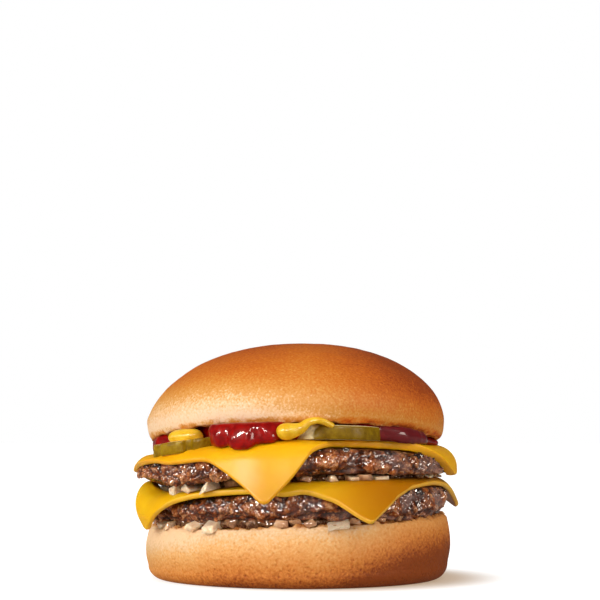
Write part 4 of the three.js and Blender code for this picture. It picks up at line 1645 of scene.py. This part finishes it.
@dataclass
class KetchupPool:
    """The pool of ketchup under the crown, whose lobes sag over the cheese.

    Attributes:
        slice_below: The cheese slice under it.
        bulges: The lobes and bays of its rim.
        blobs: The round swellings on its rim.
        radius: The distance from the axis to its plain rim.
        lag: How much further out than the slice it starts to bend.
        columns: The number of columns of its grid.
    """

    slice_below: CheeseSlice
    bulges: tuple[Bulge, ...]
    blobs: tuple[Blob, ...]
    radius: float = 43.5
    lag: float = 0.9
    columns: int = 720

    def reach(self, bearing: Array) -> Array:
        """The distance from the axis to the rim: the pool's radius and its lobes."""
        return self.radius + sum(bulge.reach(bearing) for bulge in self.bulges)

    def drop(self, bearing: Array, distance: Array) -> Array:
        """How far the pool sags where the slice below bends, along that bend's circle.

        Args:
            bearing: Where on the pool.
            distance: How far from the axis.

        Returns:
            The drop.
        """
        over = np.maximum(0.0, distance - self.slice_below.bend_start(bearing) - self.lag)
        radius = self.slice_below.blend(bearing, "bend") + CHEESE_THICKNESS
        return radius - np.sqrt(np.maximum(0.0, radius**2 - over**2))

    def swellings(self, grid: Array) -> Array:
        """How far the blobs stand out: each a bell curve of the distance to its middle.

        Args:
            grid: The plain surface's points.

        Returns:
            The height of the swelling at each point.
        """
        total = np.zeros(grid.shape[:-1])
        for blob in self.blobs:
            x, y = at_bearing(blob.bearing, float(self.reach(np.array(blob.bearing))))
            apart = np.linalg.norm(grid - np.array([x, y, blob.height]), axis=-1)
            total = np.maximum(total, blob.out * np.exp(-((apart / blob.radius) ** 2)))
        return total

    def build(self) -> None:
        """Builds and dresses the pool: blobs, soft folds on its rim, painted shade and sheen at the front right."""
        spreads = np.concatenate([[0.0, 0.5, 0.75], np.linspace(0.84, 0.95, 12)])
        spread, level, tilt = disc_rows(spreads, 40, 0.8)
        bearing = around(self.columns)
        x, y = at_bearing(bearing, spread * self.reach(bearing))
        floor = UPPER_CHEESE_TOP.height(x, y) + 0.2 - self.drop(bearing, np.hypot(x, y))
        z = lerp(floor, CROWN_BASE.height(x, y) + 0.3, level)
        grid = np.stack([x, y, z], axis=-1)
        grain = Grain(700)
        folds = 0.35 - np.abs(grain.fractal(grain.warped(grid, 6.0, 1.5), 7.5, 2, 30))
        relief = self.swellings(grid) + 0.45 * folds + 0.1 * grain.smooth(grid, 1.8, 50)
        rim = (1.0 - smoothstep(np.abs(tilt), 0.8, 1.0)) * (1.0 - 0.8 * lobe(bearing, 74.0, 24.0))
        grid = pushed_out(grid, relief * rim)
        # Darker and greyer at the front right: painted shade and a painted reflection.
        piece = shell_mesh("ketchup-pool", grid, dull=lobe(bearing, 52.0, 40.0))
        dress(piece, KETCHUP.material(), Slot.KETCHUP, "ketchup")


@dataclass
class MustardDrop(Layer):
    """A soft slug of mustard along a curve through a few points.

    Attributes:
        path: The points.
        widths: Half its width, at even steps along the curve.
        heights: Half its height, at even steps along the curve.
        seed: Picks its noise.
        rows: The number of rows of its grid.
        columns: The number of its columns.
    """

    path: tuple[tuple[float, float, float], ...]
    widths: tuple[float, ...]
    heights: tuple[float, ...]
    seed: int
    rows: int = 60
    columns: int = 48

    def spine(self, share: Array) -> Array:
        """Points along the path: cubic Hermite pieces whose slopes are half the step between neighbours.

        Args:
            share: How far along, from 0 to 1.

        Returns:
            The points.
        """
        knots = np.array(self.path, float)
        slopes = np.gradient(knots, axis=0)
        place = np.clip(share, 0.0, 1.0) * (len(knots) - 1)
        piece = np.minimum(place.astype(int), len(knots) - 2)
        t = (place - piece)[:, None]
        first, last = knots[piece], knots[piece + 1]
        return (
            (2 * t**3 - 3 * t**2 + 1) * first
            + (t**3 - 2 * t**2 + t) * slopes[piece]
            + (3 * t**2 - 2 * t**3) * last
            + (t**3 - t**2) * slopes[piece + 1]
        )

    def build(self) -> None:
        """Builds and dresses the slug: ellipses carried along the spine, their size closing roundly at its ends."""
        share = 0.5 - 0.5 * np.cos(np.linspace(0.0, np.pi, self.rows))
        centre = self.spine(share)
        tangent = np.gradient(centre, axis=0)
        tangent /= np.maximum(np.linalg.norm(tangent, axis=1, keepdims=True), 1e-9)
        side = np.cross([0.0, 0.0, 1.0], tangent)
        side /= np.linalg.norm(side, axis=1, keepdims=True)
        above = np.cross(tangent, side)
        knots = np.linspace(0.0, 1.0, len(self.widths))
        width = np.interp(share, knots, self.widths)
        height = np.interp(share, knots, self.heights)
        length = np.concatenate([[0.0], np.cumsum(np.linalg.norm(np.diff(centre, axis=0), axis=1))])
        from_start = np.clip(2.0 * length / (self.widths[0] + self.heights[0]), 0.0, 1.0)
        from_end = np.clip(2.0 * (length[-1] - length) / (self.widths[-1] + self.heights[-1]), 0.0, 1.0)
        closing = np.sqrt(from_start * (2.0 - from_start) * from_end * (2.0 - from_end))
        angle = np.radians(around(self.columns))[..., None]
        grid = centre[:, None] + (closing * width)[:, None, None] * np.cos(angle) * side[:, None]
        grid = grid + (closing * height)[:, None, None] * np.sin(angle) * above[:, None]
        grid = pushed_out(grid, 0.1 * Grain(900 + self.seed).fractal(grid, 4.0, 2) * closing[:, None])
        piece = shell_mesh(self.name, grid)
        dress(piece, MUSTARD.material(), Slot.MUSTARD, self.node)


# ---------------------------------------------------------------------------------------------------------------
# The studio.


class Throw(Enum):
    """What a light does: light without reflections, or reflections alone. Each kind has its colour."""

    SOFT = (True, False, (1.0, 0.985, 0.96))
    GLINT = (False, True, (1.0, 0.9, 0.8))


@dataclass(frozen=True)
class Sun:
    """A far light.

    Attributes:
        name: The light's name.
        bearing: Where it comes from.
        elevation: How high it stands, in degrees.
        strength: Its strength.
        width: The angle that it fills, in degrees.
        throw: What it does.
    """

    name: str
    bearing: float
    elevation: float
    strength: float
    width: float
    throw: Throw

    def build(self) -> None:
        """Adds the light."""
        data = bpy.data.lights.new(self.name, "SUN")
        data.energy = self.strength
        data.angle = math.radians(self.width)
        lamp = bpy.data.objects.new(self.name, data)
        lamp.visible_diffuse, lamp.visible_glossy, data.color = self.throw.value
        lamp.rotation_euler = (math.radians(90.0 - self.elevation), 0.0, math.radians(self.bearing))
        bpy.context.scene.collection.objects.link(lamp)


SUNS = (
    Sun("key", -58.0, 17.0, 2.75, 44.0, Throw.SOFT),
    Sun("key-glint", -62.0, 21.0, 2.8, 10.0, Throw.GLINT),
    Sun("side", -82.0, 14.0, 0.6, 11.0, Throw.GLINT),
    Sun("spark-left", -40.0, 30.0, 7.0, 10.0, Throw.GLINT),
    Sun("spark-front", 2.0, 22.0, 5.0, 11.0, Throw.GLINT),
    Sun("spark-right", 34.0, 34.0, 1.6, 8.0, Throw.GLINT),
    Sun("sheen", 58.0, 8.0, 3.0, 24.0, Throw.GLINT),
    Sun("fill", 10.0, 4.0, 1.12, 90.0, Throw.SOFT),
    Sun("right", 56.0, 14.0, 1.75, 70.0, Throw.SOFT),
    Sun("top", 14.0, 68.0, 0.75, 60.0, Throw.SOFT),
)


@dataclass
class Studio:
    """A plain pale floor, soft light and the camera.

    Attributes:
        camera_place: The camera's place.
        focal_pixels: Its focal length, in pixels.
        horizon_drop: How far below the middle of the frame the horizon lies, in pixels.
        frame_pixels: The side of the frame.
        floor_radii: The radii of the floor's rings.
        floor_columns: The number of points on each.
        shade: Distances between which the glow of the floor grows out of its painted shadow.
        shade_shift: How far to the right the middle of its painted shadow lies.
        left_glow: How bright the surroundings are on the left.
        right_glow: How bright they are on the right.
    """

    camera_place: tuple[float, float, float] = (0.4, -560.0, 45.0)
    focal_pixels: float = 1792.0
    horizon_drop: float = 131.7
    frame_pixels: float = 600.0
    floor_radii: tuple[float, ...] = (0.0, 200.0, 1000.0, 6000.0)
    floor_columns: int = 96
    shade: tuple[float, float] = (37.0, 60.0)
    shade_shift: float = 9.0
    left_glow: float = 0.16
    right_glow: float = 0.08

    def camera(self) -> None:
        """Creates the camera, level in roll and pitched up so that the horizon lies below the middle."""
        data = bpy.data.cameras.new("camera")
        data.sensor_width = 36.0
        data.lens = self.focal_pixels / self.frame_pixels * data.sensor_width
        data.clip_start = 0.01
        data.clip_end = 50.0
        camera = bpy.data.objects.new("camera", data)
        camera.location = [part * MM for part in self.camera_place]
        camera.rotation_euler = (math.radians(90.0) + math.atan(self.horizon_drop / self.focal_pixels), 0.0, 0.0)
        bpy.context.scene.collection.objects.link(camera)
        bpy.context.scene.camera = camera

    def floor(self) -> None:
        """Lays the floor: a wide white disc that glows, less so and browner close to the object, as a painted shadow.
        """
        x, y = at_bearing(around(self.floor_columns), np.array(self.floor_radii)[:, None])
        points = np.stack([x, y, np.zeros_like(x)], axis=-1)
        index = np.arange(x.size).reshape(x.shape)
        beside = np.roll(index, -1, axis=1)
        quads = np.stack([index[:-1], index[1:], beside[1:], beside[:-1]], axis=-1).reshape(-1, 4)
        floor = make_mesh("studio-floor", points.reshape(-1, 3), [quads], {})
        shader = Shader("studio-floor", roughness=0.9, specular_ior_level=0.1, emission_strength=1.0)
        pale = shader.ramp(shader.noise(90.0), ((0.3, (0.3, 0.3, 0.3, 1.0)), (0.7, (0.32, 0.32, 0.32, 1.0))))
        # A painted shadow round the object's foot, its middle shifted to the right.
        shift = (-self.shade_shift * MM, 0.0, 0.0)
        offset = shader.node("ShaderNodeVectorMath", {"operation": "ADD"}, {0: shader.place, 1: shift})
        distance = shader.node("ShaderNodeVectorMath", {"operation": "LENGTH"}, {0: offset}, "Value")
        far = distance.step(self.shade[0] * MM, self.shade[1] * MM)
        glow = shader.mix(far, (0.4, 0.29, 0.19, 1.0), (0.95, 0.95, 0.95, 1.0))
        seen = shader.node("ShaderNodeLightPath", {}, {}, "Is Camera Ray")
        material = shader.finish(base_color=pale, emission_color=shader.mix(seen, (0.16, 0.15, 0.13, 1.0), glow))
        floor.data.materials.append(material)

    def world(self) -> None:
        """Makes the surroundings: white behind the object, and a dim soft light that is stronger on the left."""
        world = bpy.data.worlds.new("studio")
        bpy.context.scene.world = world
        wiring = Wiring(world, "Background")
        heading = wiring.node("ShaderNodeTexCoord", {}, {}, "Generated")
        across = wiring.node("ShaderNodeSeparateXYZ", {}, {0: heading}, "X")
        glow = wiring.node("ShaderNodeMapRange", {}, {
            "Value": across, "From Min": -1.0, "From Max": 1.0, "To Min": self.left_glow, "To Max": self.right_glow,
        })
        seen = wiring.node("ShaderNodeLightPath", {}, {}, "Is Camera Ray")
        wiring.feed(color=(1.0, 1.0, 1.0, 1.0), strength=wiring.node("ShaderNodeMix", {}, {0: seen, 2: glow, 3: 1.0}))

    def build(self) -> None:
        """Builds the camera, floor, surroundings and lights."""
        self.camera()
        self.floor()
        self.world()
        for sun in SUNS:
            sun.build()
        view = bpy.context.scene.view_settings
        view.view_transform = "Standard"
        view.look = "None"


# ---------------------------------------------------------------------------------------------------------------
# Assembly.


# Each die's last number is its tint, lower for dice deeper under the patty: painted shade.
LOWER_DICE = (
    Die(-66, 1.6, 3.2, 3.0, 20, 1.0, tint=0.95),
    Die(-60, 1.4, 2.6, 3.2, -32, 1.2, tint=0.6),
    Die(-43, 2.2, 3.8, 2.8, 24, 1.0, tint=0.72),
    Die(-34.5, 2.4, 3.7, 3.2, 2, 1.4, tint=0.74),
    Die(-18, 0.4, 2.8, 2.0, -14, 0.2, tint=0.08),
    Die(-6.5, 0.8, 3.4, 2.4, 6, 0.4, tint=0.28),
    Die(-1.5, -0.2, 2.6, 2.2, -20, 0.0, tint=0.25),
    Die(4.5, 1.0, 3.4, 2.3, -38, 0.4, tint=0.34),
    Die(14.5, 3.2, 6.4, 1.7, -27, 2.4, tint=0.85),
    Die(21, 0.4, 3.2, 2.0, 12, 0.2, tint=0.35),
    Die(33.5, 0.6, 2.6, 1.9, 0, 0.2, tint=0.3),
    Die(43, -0.4, 3.8, 1.5, 6, 0.0, tint=0.15),
)
UPPER_DICE = (
    Die(-52.5, 5.2, 3.8, 2.8, -14, 0.8, tint=0.85),
    Die(-44.5, 4.6, 3.2, 2.2, 28, 0.5, tint=0.7),
    Die(-35, 5.0, 4.0, 3.0, -22, 0.8, tint=0.8),
    Die(3, 1.0, 3.2, 1.8, 15, 0.0, tint=0.3),
    Die(13, 2.4, 3.8, 2.7, -3, 0.6, tint=0.5),
    Die(21.5, 1.8, 3.0, 2.3, 4, 0.4, tint=0.5),
    Die(26, 2.2, 3.4, 2.4, -4, 0.5, tint=0.16),
    Die(33, 1.8, 5.0, 1.5, -5, 0.3, tint=0.7),
)


def build_burger() -> None:
    """Builds and dresses every layer, from the foot up."""
    lower_patty = BeefPatty(
        "beef_patty_lower", radius=46.2, shift=0.6, base=LOWER_PATTY_BASE, top=LOWER_PATTY_TOP,
        seed=0, char=-0.12, ledge=0.26, droop=1.5,
    )
    upper_patty = BeefPatty(
        "beef_patty_upper", radius=48.3, shift=-2.3, base=UPPER_PATTY_BASE, top=UPPER_PATTY_TOP,
        seed=17, char=-0.02, ledge=0.18, droop=0.3,
    )
    lower_slice = CheeseSlice(
        "cheese_slice_lower", lower_patty, LOWER_CHEESE_BASE, turn=21.0, shift=(1.2, -2.8),
        corners=(
            Corner(42.0, 0.77, round=1.3),
            Corner(47.0, 0.68, round=1.6),
            Corner(60.0, 0.75),
            Corner(104.0, 0.68, shoulder=0.8, bend=5.0),
        ),
        tongues=(Bulge(6.0, 14.0, -3.4), Bulge(41.0, 13.0, -1.2)),
        seed=1, cut=srgb(240, 186, 66), amber=1.0, warmth=0.18,
    )
    upper_slice = CheeseSlice(
        "cheese_slice_upper", upper_patty, UPPER_CHEESE_BASE, turn=-6.6, shift=(-4.0, -1.0),
        corners=(
            Corner(69.0, 1.07),
            Corner(86.0, 0.54, shoulder=5.0, bend=4.6, edge=1.4, round=8.0),
            Corner(60.0, 0.85),
            Corner(84.0, 0.36, shoulder=5.2),
        ),
        tongues=(Bulge(68.0, 26.0, 5.0), Bulge(15.0, 15.0, -3.2), Bulge(-59.0, 36.0, 7.0)),
        seed=2, cut=srgb(242, 168, 44), warmth=0.4,
    )
    BunHeel().build()
    OnionBed(
        "onion_bed_lower", HEEL_TOP, LOWER_PATTY_BASE, rim=45.0, core_radius=42.0, dice_radius=44.6,
        front=LOWER_DICE, seed=31,
    ).build()
    lower_patty.build()
    lower_slice.build()
    OnionBed(
        "onion_bed_upper", LOWER_CHEESE_TOP, UPPER_PATTY_BASE, rim=46.0, core_radius=39.0, dice_radius=42.8,
        front=UPPER_DICE, seed=47,
    ).build()
    upper_patty.build()
    upper_slice.build()
    PickleSlice(
        "pickle_slice_left", centre=(-30.5, -25.0), radius=12.5, thickness=2.9, seed=1,
        notches=(-62.0, -8.0, 34.0), nick=1.1, bare=Bulge(60.0, 20.0, 0.4), sag=1.1, depth=0.0,
    ).build()
    PickleSlice(
        "pickle_slice_right", centre=(11.7, -33.0), radius=12.7, thickness=4.9, seed=2,
        notches=(), nick=0.2, bare=Bulge(-52.0, 34.0, 3.0), sag=0.2, depth=0.36,
    ).build()
    KetchupPool(
        upper_slice,
        bulges=(
            Bulge(-20.5, 19.5, 6.4), Bulge(-29.0, 6.0, 1.2), Bulge(-19.0, 7.0, 1.6), Bulge(-9.5, 5.5, 1.2),
            Bulge(50.0, 20.0, 2.2), Bulge(74.0, 18.0, -3.2), Bulge(-74.0, 14.0, 2.4), Bulge(-48.0, 16.0, -2.0),
            Bulge(12.0, 17.0, -3.4), Bulge(118.0, 24.0, 2.4), Bulge(172.0, 20.0, 3.2), Bulge(-128.0, 20.0, 2.6),
        ),
        blobs=(
            Blob(-18.5, 42.0, 4.0, 1.3), Blob(-8.6, 43.4, 2.4, 1.0), Blob(-27.0, 44.2, 3.2, 0.9),
            Blob(-31.0, 45.2, 2.6, 0.9), Blob(46.0, 43.0, 5.0, 0.7), Blob(118.0, 43.0, 5.0, 1.2),
            Blob(172.0, 43.0, 5.5, 1.4), Blob(-128.0, 43.0, 5.0, 1.2),
        ),
    ).build()
    MustardDrop(
        "mustard_left", path=((-37.6, -28.0, 43.1), (-33.5, -31.0, 43.5), (-28.6, -34.4, 43.9)),
        widths=(3.4, 3.8, 3.2), heights=(2.1, 2.4, 2.0), seed=1,
    ).build()
    MustardDrop(
        "mustard_right",
        path=(
            (-6.4, -46.8, 45.2), (-3.0, -46.9, 45.1), (0.3, -46.6, 45.9),
            (3.2, -46.3, 47.8), (6.4, -46.0, 48.1), (10.2, -44.6, 46.4),
        ),
        widths=(3.2, 3.2, 2.2, 1.4, 1.3, 1.0), heights=(2.4, 2.5, 1.8, 1.1, 0.9, 0.8), seed=2,
    ).build()
    BunCrown().build()


def main() -> None:
    """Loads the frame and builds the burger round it."""
    logging.basicConfig(level=logging.INFO, format="%(name)s %(message)s")
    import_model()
    build_burger()
    Studio().build()
    bpy.context.view_layer.update()


if __name__ == "__main__":
    main()
